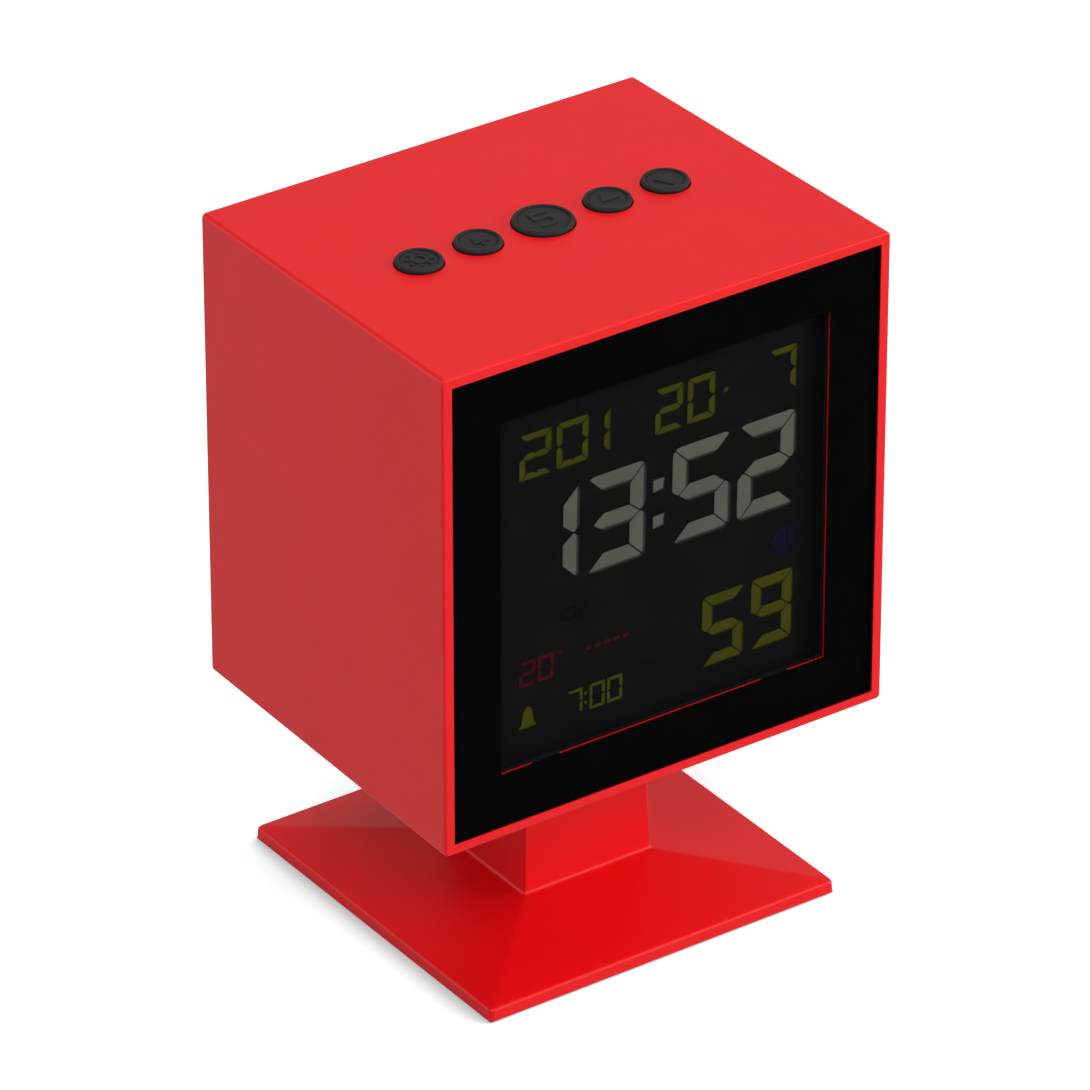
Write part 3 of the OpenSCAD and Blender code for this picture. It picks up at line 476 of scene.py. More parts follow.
class Sheet:
    """The node tree of one material, with a Principled shader."""

    def __init__(self, name: str) -> None:
        """Starts a material.

        Args:
            name: The material's name.
        """
        self.material = bpy.data.materials.new(name)
        self.material.use_nodes = True
        self.tree = self.material.node_tree
        self.shader = self.tree.nodes["Principled BSDF"]
        self.place_of = self.add("ShaderNodeTexCoord").outputs["Object"]

    def add(self, kind: str, **inputs: object) -> bpy.types.Node:
        """Adds a node and sets some of its inputs.

        Args:
            kind: Blender's type name of the node.
            inputs: Values by the socket's name, with spaces as underscores.

        Returns:
            The node.
        """
        node = self.tree.nodes.new(kind)
        for key, value in inputs.items():
            node.inputs[key.replace("_", " ")].default_value = value
        return node

    def link(self, source: bpy.types.NodeSocket, node: bpy.types.Node, socket: str | int) -> None:
        """Joins an output to a node's input."""
        self.tree.links.new(source, node.inputs[socket])

    def noise(
        self, size: float, detail: float = 2.0, where: bpy.types.NodeSocket | None = None
    ) -> bpy.types.NodeSocket:
        """Adds a noise with grains of about a size in millimetres.

        Args:
            size: Size of a grain.
            detail: Octaves of finer noise.
            where: The place that the noise is read at, if it isn't the plain place on the piece.

        Returns:
            The noise's value.
        """
        node = self.add("ShaderNodeTexNoise", Scale=1 / (size * MM), Detail=detail)
        self.link(self.place_of if where is None else where, node, "Vector")
        return node.outputs[0]

    def spread(
        self, value: bpy.types.NodeSocket, low: float, high: float, span: Span = NOISE_SPAN
    ) -> bpy.types.NodeSocket:
        """Maps a span of a value to a range.

        Args:
            value: The value.
            low: Result at the start of the span.
            high: Result at the end of the span.
            span: Start and end of the span.

        Returns:
            The mapped value.
        """
        node = self.add("ShaderNodeMapRange", From_Min=span[0], From_Max=span[1], To_Min=low, To_Max=high)
        self.link(value, node, "Value")
        return node.outputs[0]

    def tint(self, value: bpy.types.NodeSocket, first: Colour, second: Colour) -> bpy.types.NodeSocket:
        """Blends two colours over the middle of a value.

        Args:
            value: A value from 0 to 1.
            first: Colour of a low value.
            second: Colour of a high value.

        Returns:
            The blended colour.
        """
        node = self.add("ShaderNodeValToRGB")
        for stop, position, colour in zip(node.color_ramp.elements, NOISE_SPAN, (first, second)):
            stop.position = position
            stop.color = (*colour, 1)
        self.link(value, node, "Fac")
        return node.outputs[0]

    def dimmed(self, colour: bpy.types.NodeSocket, share: bpy.types.NodeSocket) -> bpy.types.NodeSocket:
        """Darkens a colour.

        Args:
            colour: The full colour.
            share: Share of its brightness that is left.

        Returns:
            The darker colour.
        """
        node = self.add("ShaderNodeHueSaturation")
        self.link(share, node, "Value")
        self.link(colour, node, "Color")
        return node.outputs[0]

    def vector(
        self, operation: str, value: bpy.types.NodeSocket, second: Point = (0.0, 0.0, 0.0)
    ) -> bpy.types.Node:
        """Adds a vector operation.

        Args:
            operation: Blender's name of the operation.
            value: The first vector.
            second: The second vector, where the operation has one.

        Returns:
            The node.
        """
        node = self.add("ShaderNodeVectorMath")
        node.operation = operation
        node.inputs[1].default_value = second
        self.link(value, node, 0)
        return node

    def normal(self) -> bpy.types.NodeSocket:
        """Returns the surface's normal in the piece's own axes."""
        return self.add("ShaderNodeTexCoord").outputs["Normal"]

    def bump(self, value: bpy.types.NodeSocket, depth: float, strength: float) -> None:
        """Bumps the surface by a value.

        Args:
            value: Height from 0 to 1.
            depth: Depth of the bumps in millimetres.
            strength: Strength from 0 to 1.
        """
        node = self.add("ShaderNodeBump", Strength=strength, Distance=depth * MM)
        self.link(value, node, "Height")
        self.link(node.outputs[0], self.shader, "Normal")

    def put(self, **inputs: object) -> None:
        """Sets values on the shader's own sockets, with spaces as underscores."""
        for key, value in inputs.items():
            self.shader.inputs[key.replace("_", " ")].default_value = value


@dataclass(frozen=True)
class Finish:
    """A grained surface: two close colours, a roughness range and fine bumps.

    Attributes:
        name: Name of the material.
        colour: Main colour, linear.
        mottle: Share by which the colour varies.
        rough: Lowest and highest roughness.
        grain: Size of the grain in millimetres.
        depth: Depth of the grain in millimetres.
        strength: Strength of the bump.
        specular: Specular level.
        metallic: Metallic share.
        alpha: Opacity.
        cloud: Size of the colour's variation, in grains.
    """

    name: str
    colour: Colour
    mottle: float = 0.06
    rough: Span = (0.45, 0.55)
    grain: float = 0.35
    depth: float = 0.02
    strength: float = 0.3
    specular: float = 0.5
    metallic: float = 0.0
    alpha: float = 1.0
    cloud: float = 40.0

    def shades(self) -> tuple[Colour, Colour]:
        """Returns the darkest and the lightest colour of the surface."""
        low, high = 1 - self.mottle, 1 + self.mottle
        return tuple(c * low for c in self.colour), tuple(min(c * high, 1.0) for c in self.colour)

    def material(self) -> bpy.types.Material:
        """Returns the finish's material, made the first time."""
        name = f"look_{self.name}"
        return bpy.data.materials.get(name) or self.paint(Sheet(name))

    def texture(self, sheet: Sheet) -> bpy.types.NodeSocket:
        """Returns the pattern of the fine bumps."""
        return sheet.noise(self.grain)

    def tone(self, sheet: Sheet, fine: bpy.types.NodeSocket) -> bpy.types.NodeSocket:
        """Returns the colour of the surface.

        Args:
            sheet: The node tree.
            fine: The pattern of the fine bumps.

        Returns:
            The colour.
        """
        return sheet.tint(sheet.noise(self.grain * self.cloud, 3), *self.shades())

    def paint(self, sheet: Sheet) -> bpy.types.Material:
        """Fills a node tree with this finish.

        Args:
            sheet: The empty node tree.

        Returns:
            The material.
        """
        sheet.put(Metallic=self.metallic, Specular_IOR_Level=self.specular)
        if self.alpha < 1:
            sheet.put(Alpha=self.alpha)
        fine = self.texture(sheet)
        sheet.link(self.tone(sheet, fine), sheet.shader, "Base Color")
        sheet.link(sheet.spread(fine, *self.rough), sheet.shader, "Roughness")
        sheet.bump(fine, self.depth, self.strength)
        return sheet.material


@dataclass(frozen=True)
class BrushedFinish(Finish):
    """Metal with fine lines along X.

    Attributes:
        stretch: Scale of the pattern along each axis.
    """

    stretch: Point = (0.06, 1.0, 1.0)

    def texture(self, sheet: Sheet) -> bpy.types.NodeSocket:
        """Adds the pattern of the brushed lines.

        Args:
            sheet: The node tree.

        Returns:
            The pattern's value.
        """
        stretched = sheet.add("ShaderNodeMapping", Scale=self.stretch)
        sheet.link(sheet.place_of, stretched, "Vector")
        return sheet.noise(self.grain, 3, stretched.outputs[0])

    def tone(self, sheet: Sheet, fine: bpy.types.NodeSocket) -> bpy.types.NodeSocket:
        """Returns the colour, which follows the lines."""
        return sheet.tint(fine, *self.shades())


@dataclass(frozen=True)
class BandedFinish(Finish):
    """A shrunk sleeve with a band of another colour along X.

    Attributes:
        band: Colour of the band.
        reach: Where the band starts and ends along X, in millimetres.
    """

    band: Colour = (0.1, 0.1, 0.1)
    reach: Span = (8.0, 30.0)

    def tone(self, sheet: Sheet, fine: bpy.types.NodeSocket) -> bpy.types.NodeSocket:
        """Adds the colours of the sleeve and its band.

        Args:
            sheet: The node tree.
            fine: The pattern of the fine bumps.

        Returns:
            The colour.
        """
        split = sheet.add("ShaderNodeSeparateXYZ")
        sheet.link(sheet.place_of, split, "Vector")
        start, end = self.reach
        mask = sheet.add("ShaderNodeMath")
        mask.operation = "COMPARE"
        mask.inputs[1].default_value = (start + end) / 2 * MM
        mask.inputs[2].default_value = (end - start) / 2 * MM
        sheet.link(split.outputs[0], mask, 0)
        return sheet.tint(mask.outputs[0], self.colour, self.band)


@dataclass(frozen=True)
class PaintedShadeFinish(Finish):
    """A lit bar of the display, with painted shade: its colour darkens where its soft edge turns to the
    right or down.

    Attributes:
        fade: Share of the colour that is left where the painted shade is darkest, at the edge.
        fade_way: Direction that the surface turns to where the shade is painted.
        turn: Least and greatest turn of the surface that the painted shade runs over.
    """

    fade: float = 0.2
    fade_way: Point = (0.9, 0.0, -0.8)
    turn: Span = (0.002, 0.03)

    def tone(self, sheet: Sheet, fine: bpy.types.NodeSocket) -> bpy.types.NodeSocket:
        """Returns the colour, darkened by painted shade where the surface turns to the right or down."""
        facing = sheet.vector("DOT_PRODUCT", sheet.normal(), self.fade_way).outputs["Value"]
        return sheet.dimmed(super().tone(sheet, fine), sheet.spread(facing, 1.0, self.fade, self.turn))


RED = Finish("satin_red_plastic", (0.80, 0.0019, 0.005), mottle=0.015, rough=(0.4, 0.48), grain=0.3,
             depth=0.02, strength=0.2, specular=0.3)
BUTTON_RUBBER = Finish("button_rubber", (0.016, 0.016, 0.016), mottle=0.12, rough=(0.62, 0.75), grain=0.18,
                       depth=0.03, strength=0.35, specular=0.18)
FOOT_RUBBER = Finish("foot_rubber", (0.03, 0.03, 0.03), mottle=0.15, rough=(0.75, 0.9), grain=0.3,
                     depth=0.05, strength=0.5, specular=0.2)
CLEAR_PANE = Finish("clear_pane", (0.02, 0.02, 0.02), mottle=0.05, rough=(0.22, 0.3), grain=0.6,
                    depth=0.003, strength=0.1, specular=0.3, alpha=0.006)
BLACK_PRINT = Finish("black_print", (0.0008, 0.0008, 0.0008), mottle=0.25, rough=(0.6, 0.75), grain=0.25,
                     depth=0.004, strength=0.2, specular=0.01)
BLACK_PLASTIC = Finish("black_plastic", (0.006, 0.006, 0.006), mottle=0.15, rough=(0.5, 0.62), grain=0.3,
                       depth=0.02, strength=0.3, specular=0.12)
DARK_FILM = Finish("dark_film", (0.003, 0.003, 0.003), mottle=0.2, rough=(0.7, 0.85), grain=0.22,
                   depth=0.006, strength=0.3, specular=0.03)
DISPLAY_GLASS = Finish("display_glass", (0.05, 0.055, 0.05), mottle=0.05, rough=(0.08, 0.14), grain=2.0,
                       depth=0.002, strength=0.1)
CLEAR_ACRYLIC = Finish("clear_acrylic", (0.7, 0.74, 0.75), mottle=0.03, rough=(0.1, 0.2), grain=1.0,
                       depth=0.004, strength=0.15, alpha=0.5)
WHITE_PLASTIC = Finish("white_plastic", (0.72, 0.72, 0.68), mottle=0.03, rough=(0.45, 0.55), grain=0.4,
                       depth=0.02, strength=0.25)
CIRCUIT_BOARD = Finish("circuit_board", (0.02, 0.16, 0.06), mottle=0.3, rough=(0.3, 0.45), grain=0.5,
                       depth=0.02, strength=0.4)
SCREW_STEEL = BrushedFinish("screw_steel", (0.56, 0.56, 0.58), mottle=0.12, rough=(0.28, 0.42), grain=0.12,
                            depth=0.006, strength=0.3, metallic=1.0)
PLATED_STEEL = BrushedFinish("plated_steel", (0.62, 0.62, 0.63), mottle=0.1, rough=(0.3, 0.45), grain=0.2,
                             depth=0.005, strength=0.3, metallic=1.0)
CONTACT_BRASS = Finish("contact_brass", (0.66, 0.44, 0.16), mottle=0.08, rough=(0.28, 0.4), grain=0.2,
                       depth=0.004, strength=0.2, metallic=1.0)
CAPACITOR_SLEEVE = Finish("capacitor_sleeve", (0.03, 0.05, 0.2), mottle=0.06, rough=(0.3, 0.4), grain=0.4,
                          depth=0.006, strength=0.2)
CELL_SLEEVE = BandedFinish("cell_sleeve", (0.42, 0.44, 0.46), rough=(0.25, 0.35), grain=0.5, depth=0.004,
                           strength=0.2, metallic=0.6, band=(0.03, 0.09, 0.12), reach=(-16.0, 10.0))
CABLE_JACKET = Finish("cable_jacket", (0.05, 0.05, 0.05), mottle=0.1, rough=(0.5, 0.65), grain=0.3,
                      depth=0.01, strength=0.3)
BAR_GRAIN = {"rough": (0.6, 0.75), "grain": 0.25, "depth": 0.01, "strength": 0.3}
# The lit display bars carry painted shade on their right and lower soft edges.
PALE_SEGMENT = PaintedShadeFinish("pale_segment", (0.085, 0.09, 0.072), mottle=0.06, specular=0.05, **BAR_GRAIN)
OLIVE_SEGMENT = PaintedShadeFinish("olive_segment", (0.043, 0.044, 0.003), mottle=0.1, specular=0.03, **BAR_GRAIN)
RED_SEGMENT = PaintedShadeFinish("red_segment", (0.042, 0.0028, 0.0035), mottle=0.12, specular=0.03, **BAR_GRAIN)
BLUE_SEGMENT = PaintedShadeFinish("blue_segment", (0.003, 0.003, 0.014), mottle=0.12, specular=0.03, **BAR_GRAIN)
FAINT_SEGMENT = Finish("faint_segment", (0.0004, 0.0004, 0.0016), mottle=0.12, specular=0.03, **BAR_GRAIN)

SLOT_FINISHES: dict[str, Finish] = {
    "red_plastic": RED,
    "button_rubber": BUTTON_RUBBER,
    "foot_rubber": FOOT_RUBBER,
    "clear_lens": CLEAR_PANE,
    "black_print": BLACK_PRINT,
    "black_plastic": BLACK_PLASTIC,
    "dark_film": DARK_FILM,
    "display_glass": DISPLAY_GLASS,
    "clear_acrylic": CLEAR_ACRYLIC,
    "white_plastic": WHITE_PLASTIC,
    "circuit_board": CIRCUIT_BOARD,
    "screw_steel": SCREW_STEEL,
    "plated_steel": PLATED_STEEL,
    "contact_brass": CONTACT_BRASS,
    "capacitor_sleeve": CAPACITOR_SLEEVE,
    "cell_can": CELL_SLEEVE,
    "cable_jacket": CABLE_JACKET,
}


def dress(
    piece: Mesh, finish: Finish, body: Body, nodes: Sequence[str] = (),
    angle: float = SHARP_ANGLE,
) -> Mesh:
    """Shades and paints a finished piece, and ties it to the frame.

    Args:
        piece: The finished mesh.
        finish: Its surface.
        body: The body that it rides on.
        nodes: CAD nodes that it stands for.
        angle: Edges sharper than this, in degrees, stay sharp.

    Returns:
        The piece.
    """
    Bench.smooth(piece, angle)
    piece.data.materials.clear()
    piece.data.materials.append(finish.material())
    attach(piece, body.value)
    if nodes:
        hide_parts(*nodes)
    LOG.info("%s: %d faces", piece.name, len(piece.data.polygons))
    return piece


@dataclass(frozen=True)
class CrossedScrew:
    """A pan-head screw with a cross recess: the head stands on z = 0, the shank goes down.

    Attributes:
        name: Name of the screw.
        radius: Radius of the head.
        height: Height of the head.
        shank: Radius of the shank.
        length: Length of the shank.
        tip_share: Radius of the tip as a share of the shank's.
        tip_height: Height of the tip's cone.
        dome: Points of the head's dome, as shares of its radius and height.
        arm_share: Half length of a recess arm as a share of the head's radius.
        web_share: Half width of a recess arm as a share of the head's radius.
        floor_share: Height of the recess floor as a share of the head's.
    """

    name: str
    radius: float
    height: float
    shank: float
    length: float
    tip_share: float = 0.7
    tip_height: float = 0.4
    dome: Outline = ((1.0, 0.35), (0.93, 0.72), (0.78, 0.93), (0.5, 1.0))
    arm_share: float = 0.6
    web_share: float = 0.13
    floor_share: float = 0.4

    def build(self) -> Mesh:
        """Models the screw.

        Returns:
            The screw.
        """
        shank, tip = self.shank, -self.length
        rings = [(shank * self.tip_share, tip), (shank, tip + self.tip_height), (shank, 0), (self.radius, 0)]
        rings += [(self.radius * across, self.height * up) for across, up in self.dome]
        screw = Bench.turned(self.name, (0, 0, 0), Axis.UP, rings, 32)
        arm, web = self.radius * self.arm_share, self.radius * self.web_share
        for half_x, half_y in ((arm, web), (web, arm)):
            low = (-half_x, -half_y, self.height * self.floor_share)
            Bench.cut(screw, Bench.box("slot", low, (half_x, half_y, self.height + PAST)))
        return screw


@dataclass
class Case:
    """The moulded case with its lens pocket, window, button holes and neck seat."""

    front: float = -40.3
    back: float = 40.3
    half: float = 50.35
    draft: float = 0.6
    wall: float = 2.0
    middle: float = 90.8
    edge_round: float = 1.0
    rim_round: float = 0.5
    pocket_half: float = 48.2
    pocket_y: float = -39.2
    flange_y: float = -38.2
    window_half: float = 37.85
    tab_x: float = 26.3
    tab_half: float = 3.2
    tab_reach: float = 39.85
    seat_half: float = 13.9
    seat_top: float = 41.25
    hole_gap: float = 0.2

    def half_at(self, y: float) -> float:
        """Returns half the width of the drafted case at a depth."""
        return self.half - math.tan(math.radians(self.draft)) * (y - self.front)

    @property
    def inner_half(self) -> float:
        """Half the width of the inside."""
        return self.half_at(self.back) - self.wall

    @property
    def top(self) -> float:
        """Height of the top face at the buttons."""
        return self.middle + self.half_at(0)

    @property
    def roof(self) -> float:
        """Height of the underside of the top wall."""
        return self.middle + self.inner_half

    @property
    def floor(self) -> float:
        """Height of the upper side of the bottom wall."""
        return self.middle - self.inner_half

    def slab(self, name: str, half: float, near: float, far: float) -> Mesh:
        """Returns a square block around the middle of the front, from one depth to another."""
        return Bench.block(name, self.middle, half, half, near, far)

    def build(self, holes: Sequence[tuple[float, float]]) -> Mesh:
        """Models the case.

        Args:
            holes: Place along X and radius of each button.

        Returns:
            The dressed case.
        """
        case = self.slab("moulded_case", self.half, self.front, self.back)
        Bench.edit(case, Pick.FACES, lambda middle, normal: normal.y > ALONG)
        share = self.half_at(self.back) / self.half
        centre = (0, self.back * MM, self.middle * MM)
        bpy.ops.transform.resize(value=(share, 1, share), center_override=centre)
        Bench.bevel(case, along_depth, self.edge_round, 6)
        for y in (self.front, self.back):
            Bench.bevel(case, at_depth(y), self.rim_round, 4)
        Bench.cut(case, *self.openings())
        for x, radius in holes:
            foot, reach = (x, 0, self.roof - PAST), radius + self.hole_gap
            Bench.cut(case, Bench.rod("hole", foot, Axis.UP, reach, (0, 3 * self.wall), 64))
        return dress(case, RED, Body.CLOCK, ["case_shell"])

    def openings(self) -> list[Mesh]:
        """Models the cutters of the case's openings.

        Returns:
            The inside, the lens pocket, the window, the neck seat and the notches for the tabs.
        """
        cutters = [
            self.slab("cavity", self.inner_half, self.flange_y, self.back + PAST),
            self.slab("pocket", self.pocket_half, self.front - PAST, self.pocket_y),
            self.slab("window", self.window_half, self.front - PAST, self.flange_y + PAST),
            Bench.box(
                "seat",
                (-self.seat_half, -self.seat_half, self.seat_top - self.wall),
                (self.seat_half, self.seat_half, self.seat_top),
            ),
        ]
        for x in (-self.tab_x, self.tab_x):
            low = (x - self.tab_half, self.pocket_y - PAST, self.middle - self.tab_reach)
            high = (x + self.tab_half, self.flange_y + OVERLAP, self.middle + self.tab_reach)
            cutters.append(Bench.box("tab_notch", low, high))
        return cutters


@dataclass(frozen=True)
class EdgeRun:
    """Edges of the stand that are rounded alike.

    Attributes:
        low: Height above which their middles lie.
        high: Height below which their middles lie.
        width: Width of the rounding.
    """

    low: float
    high: float
    width: float


@dataclass
class Pedestal:
    """The hollow stand: a low pyramid base and a square neck, with its feet and screws."""

    lift: float = 0.3
    base: float = 80.6
    edge_top: float = 2.9
    edge_top_width: float = 80.28
    foot: float = 29.7
    foot_z: float = 6.4
    neck: float = 27.4
    neck_z: float = 41.25
    rounds: tuple[EdgeRun, ...] = (
        EdgeRun(0.2, 0.4, 0.2),
        EdgeRun(0.5, 2.8, 1.0),
        EdgeRun(2.8, 3.0, 0.55),
        EdgeRun(3.0, 6.3, 0.5),
        EdgeRun(6.3, 6.5, 0.7),
        EdgeRun(6.6, 41.2, 0.4),
    )
    round_steps: int = 6
    pocket: float = 77.0
    plate_top: float = 1.6
    cavity: float = 71.6
    roof_foot_z: float = 5.05
    inner_foot: float = 26.1
    inner_neck: float = 23.8
    inner_neck_z: float = 39.25
    pad_xy: float = 30.0
    pad_radius: float = 5.0
    pad_height: float = 0.8
    pad_rim: Outline = ((0.0, 0.0), (0.0, 0.55), (0.08, 0.78), (0.25, 0.93), (0.5, 1.0), (1.3, 1.0))
    pad_dish: float = 1.5
    pad_dish_edge: float = 0.08
    pad_dish_depth: float = 0.1
    pad_dish_middle: float = 0.4
    screw_xy: float = 19.5
    screw_radius: float = 1.9
    screw_height: float = 0.6
    screw_shank: float = 1.0
    screw_length: float = 3.0

    def build(self) -> None:
        """Models the stand, the rubber feet and the screws under the base."""
        stand = Bench.stacked(
            "pedestal",
            [(self.base, self.lift), (self.edge_top_width, self.edge_top), (self.foot, self.foot_z),
             (self.neck, self.neck_z)],
        )
        self.round_edges(stand)
        hollow = Bench.stacked(
            "hollow",
            [(self.cavity, self.plate_top - OVERLAP), (self.cavity, self.plate_top),
             (self.inner_foot, self.roof_foot_z), (self.inner_neck, self.inner_neck_z)],
        )
        half = self.pocket / 2
        Bench.cut(stand, Bench.box("pocket", (-half, -half, -PAST), (half, half, self.plate_top)), hollow)
        dress(stand, RED, Body.CLOCK, ["stand_shell"])
        self.build_feet()
        self.build_screws()

    def round_edges(self, stand: Mesh) -> None:
        """Rounds each run of edges by its own width, in one go, so that they meet cleanly.

        Args:
            stand: The stand with plain edges.
        """
        for run in self.rounds:
            if Bench.edit(stand, Pick.EDGES, lambda middle, way: run.low < middle.z < run.high):
                bpy.ops.transform.edge_bevelweight(value=run.width)
        Bench.pick(stand)
        modifier = stand.modifiers.new("rounding", "BEVEL")
        modifier.limit_method = "WEIGHT"
        modifier.width = MM
        modifier.segments = self.round_steps
        bpy.ops.object.modifier_apply(modifier=modifier.name)

    def build_feet(self) -> None:
        """Models one rubber foot with a rounded rim and a worn dish, and copies it to the corners."""
        r, h = self.pad_radius, self.pad_height
        rings = [(r - inset, h * share) for inset, share in self.pad_rim]
        rings.append((r - self.pad_dish, h - self.pad_dish_edge))
        rings.append((self.pad_dish_middle, h - self.pad_dish_depth))
        pad = Bench.turned("pad", (0, 0, h), Axis.DOWN, rings)
        feet = Bench.repeat("rubber_feet", pad, [place(x, y, 0) for x, y in corners(self.pad_xy)])
        dress(feet, FOOT_RUBBER, Body.CLOCK, ["base_feet"])

    def build_screws(self) -> None:
        """Models one flat screw and copies it to the four holes of the base plate."""
        screw = CrossedScrew(
            "plate_screw", self.screw_radius, self.screw_height, self.screw_shank, self.screw_length
        ).build()
        turn = Matrix.Rotation(math.pi, 4, "X")
        spots = [place(x, y, self.pad_height) @ turn for x, y in corners(self.screw_xy)]
        heads = Bench.repeat("plate_screw_heads", screw, spots)
        dress(heads, SCREW_STEEL, Body.CLOCK, ["base_plate_screws"])


class Glyph(Enum):
    """The raised sign on a button."""

    SUN = "sun"
    BELL = "bell"
    NUMBER = "number"
    UP = "up"
    DOWN = "down"


@dataclass
class Button:
    """One rubber button with a raised rim, a dished top and a raised sign."""

    name: str
    node: str
    body: Body
    x: float
    radius: float
    glyph: Glyph
    case: Case
    proud: float = 1.0
    collar_gap: float = 0.1
    collar: float = 1.0
    collar_width: float = 1.0
    shank: float = 2.2
    shank_length: float = 2.5
    undercut: float = 0.2
    waist_drop: float = 0.05
    widest: float = 0.3
    widest_inset: float = 0.06
    shoulder: float = 0.5
    shoulder_steps: int = 7
    rim: float = 0.35
    lip: Outline = ((0.1, 0.02), (0.0, 0.07))
    dish: float = 0.32
    dish_wall: float = 0.06
    dish_wall_foot: float = 0.02
    dish_sag: float = 0.02
    dish_sag_share: float = 0.5
    groove: float = 0.15
    groove_floor: Span = (0.1, 0.26)
    groove_end: float = 0.34
    sign_root: float = 0.1
    sign_gap: float = 0.02
    sign_round: float = 0.05
    soft_angle: float = 40.0
    triangle_half: float = 2.15
    triangle_foot: float = 0.95
    triangle_tip: float = 2.75
    sun_ring: Span = (1.65, 1.05)
    ray_count: int = 8
    ray_span: Span = (2.05, 2.75)
    ray_half: float = 0.3
    bell_side: Outline = ((1.75, -1.1), (1.2, -0.5), (1.1, 0.5), (0.75, 1.25), (0.3, 1.6))
    clapper_y: float = -1.65
    clapper_radius: float = 0.42

    @property
    def top(self) -> float:
        """Height of the rim."""
        return self.case.top + self.proud

    @property
    def relief(self) -> float:
        """Height of a sign above the dish, just under the rim."""
        return self.dish - self.sign_gap

    def rings(self) -> list[tuple[float, float]]:
        """Draws the button's profile.

        Returns:
            Radius and height of each ring, from the shank to the dish.
        """
        r, top, case_top = self.radius, self.top, self.case.top
        collar_top = self.case.roof - self.collar_gap
        low, wide, waist = collar_top - self.collar, r + self.collar_width, r - self.undercut
        rings = [(self.shank, low - self.shank_length), (self.shank, low), (wide, low), (wide, collar_top),
                 (waist, collar_top), (waist, case_top - self.waist_drop),
                 (r - self.widest_inset, case_top + self.widest / 2)]
        for step in range(self.shoulder_steps + 1):
            turn = math.pi / 2 * step / self.shoulder_steps
            height = case_top + self.widest + (self.proud - self.widest) * math.sin(turn)
            rings.append((r - self.shoulder * (1 - math.cos(turn)), height))
        inner, floor = r - self.shoulder - self.rim, top - self.dish
        rings += [(inner + out, top - drop) for out, drop in self.lip]
        rings.append((inner - self.dish_wall, floor + self.dish_wall_foot))
        rings += [(inner - inset, floor - self.groove) for inset in self.groove_floor]
        rings += [(inner - self.groove_end, floor), (inner * self.dish_sag_share, floor - self.dish_sag)]
        return rings

    def build(self) -> Mesh:
        """Models the button and its sign.

        Returns:
            The dressed button.
        """
        button = Bench.turned(self.name, (self.x, 0, 0), Axis.UP, self.rings(), 72)
        for sign in self.signs():
            Bench.bevel(sign, lambda middle, way: middle.z > self.relief - NEAR, self.sign_round, 2)
            sign.data.transform(place(self.x, 0, self.top - self.dish))
            Bench.unite(button, sign)
        return dress(button, BUTTON_RUBBER, self.body, [self.node], self.soft_angle)

    def signs(self) -> list[Mesh]:
        """Models the raised sign.

        Returns:
            The bodies of the sign, on a floor at z = 0 around the middle.
        """
        makers = {
            Glyph.SUN: self.sun,
            Glyph.BELL: self.bell,
            Glyph.NUMBER: self.number,
            Glyph.UP: lambda: self.triangle(1),
            Glyph.DOWN: lambda: self.triangle(-1),
        }
        return makers[self.glyph]()

    def shape(self, name: str, outline: Outline) -> Mesh:
        """Returns a flat body of a sign with an outline."""
        return Bench.flat(name, outline, -self.sign_root, self.relief)

    def disc(self, y: float, radius: float, sides: int) -> Mesh:
        """Returns a flat round body of a sign on its middle line."""
        return Bench.rod("disc", (0, y, 0), Axis.UP, radius, (-self.sign_root, self.relief), sides)

    def triangle(self, way: int) -> list[Mesh]:
        """Returns a triangle with its point to the back or the front."""
        half, foot, tip = self.triangle_half, -self.triangle_foot * way, self.triangle_tip * way
        return [self.shape("triangle", [(-half, foot), (half, foot), (0.0, tip)])]

    def sun(self) -> list[Mesh]:
        """Models a ring and the short rays around it.

        Returns:
            The ring and the rays.
        """
        outer, inner = self.sun_ring
        ring = self.disc(0, outer, 40)
        Bench.cut(ring, Bench.rod("bore", (0, 0, 0), Axis.UP, inner, (-PAST, PAST)))
        signs = [ring]
        start, end = self.ray_span
        for step in range(self.ray_count):
            low = (start, -self.ray_half, -self.sign_root)
            ray = Bench.box("ray", low, (end, self.ray_half, self.relief))
            ray.data.transform(Matrix.Rotation(math.tau * (step + 0.5) / self.ray_count, 4, "Z"))
            signs.append(ray)
        return signs

    def bell(self) -> list[Mesh]:
        """Models a bell and its clapper.

        Returns:
            The two bodies.
        """
        outline = [(-x, y) for x, y in self.bell_side] + list(reversed(self.bell_side))
        return [self.shape("bell", outline), self.disc(self.clapper_y, self.clapper_radius, 20)]

    def number(self) -> list[Mesh]:
        """Models a number 5 with a round lower bow.

        Returns:
            The number, as one body.
        """
        left, right, half, line = -1.9, 2.1, 2.8, 0.8
        bow_x, bow_top, steps = 0.4, 0.8, 24
        radius = (half + bow_top) / 2
        turns = [math.pi * (0.5 - step / steps) for step in range(steps + 1)]

        def arc(size: float) -> list[tuple[float, float]]:
            """Returns the bow's points from its upper to its lower end."""
            return [(bow_x + size * math.cos(a), bow_top - radius + size * math.sin(a)) for a in turns]

        outline = [(left, half), (right, half), (right, half - line), (left + line, half - line)]
        outline += [(left + line, bow_top), *arc(radius), (left, -half), (left, line - half)]
        outline += [*reversed(arc(radius - line)), (left, bow_top - line)]
        return [self.shape("five", outline)]


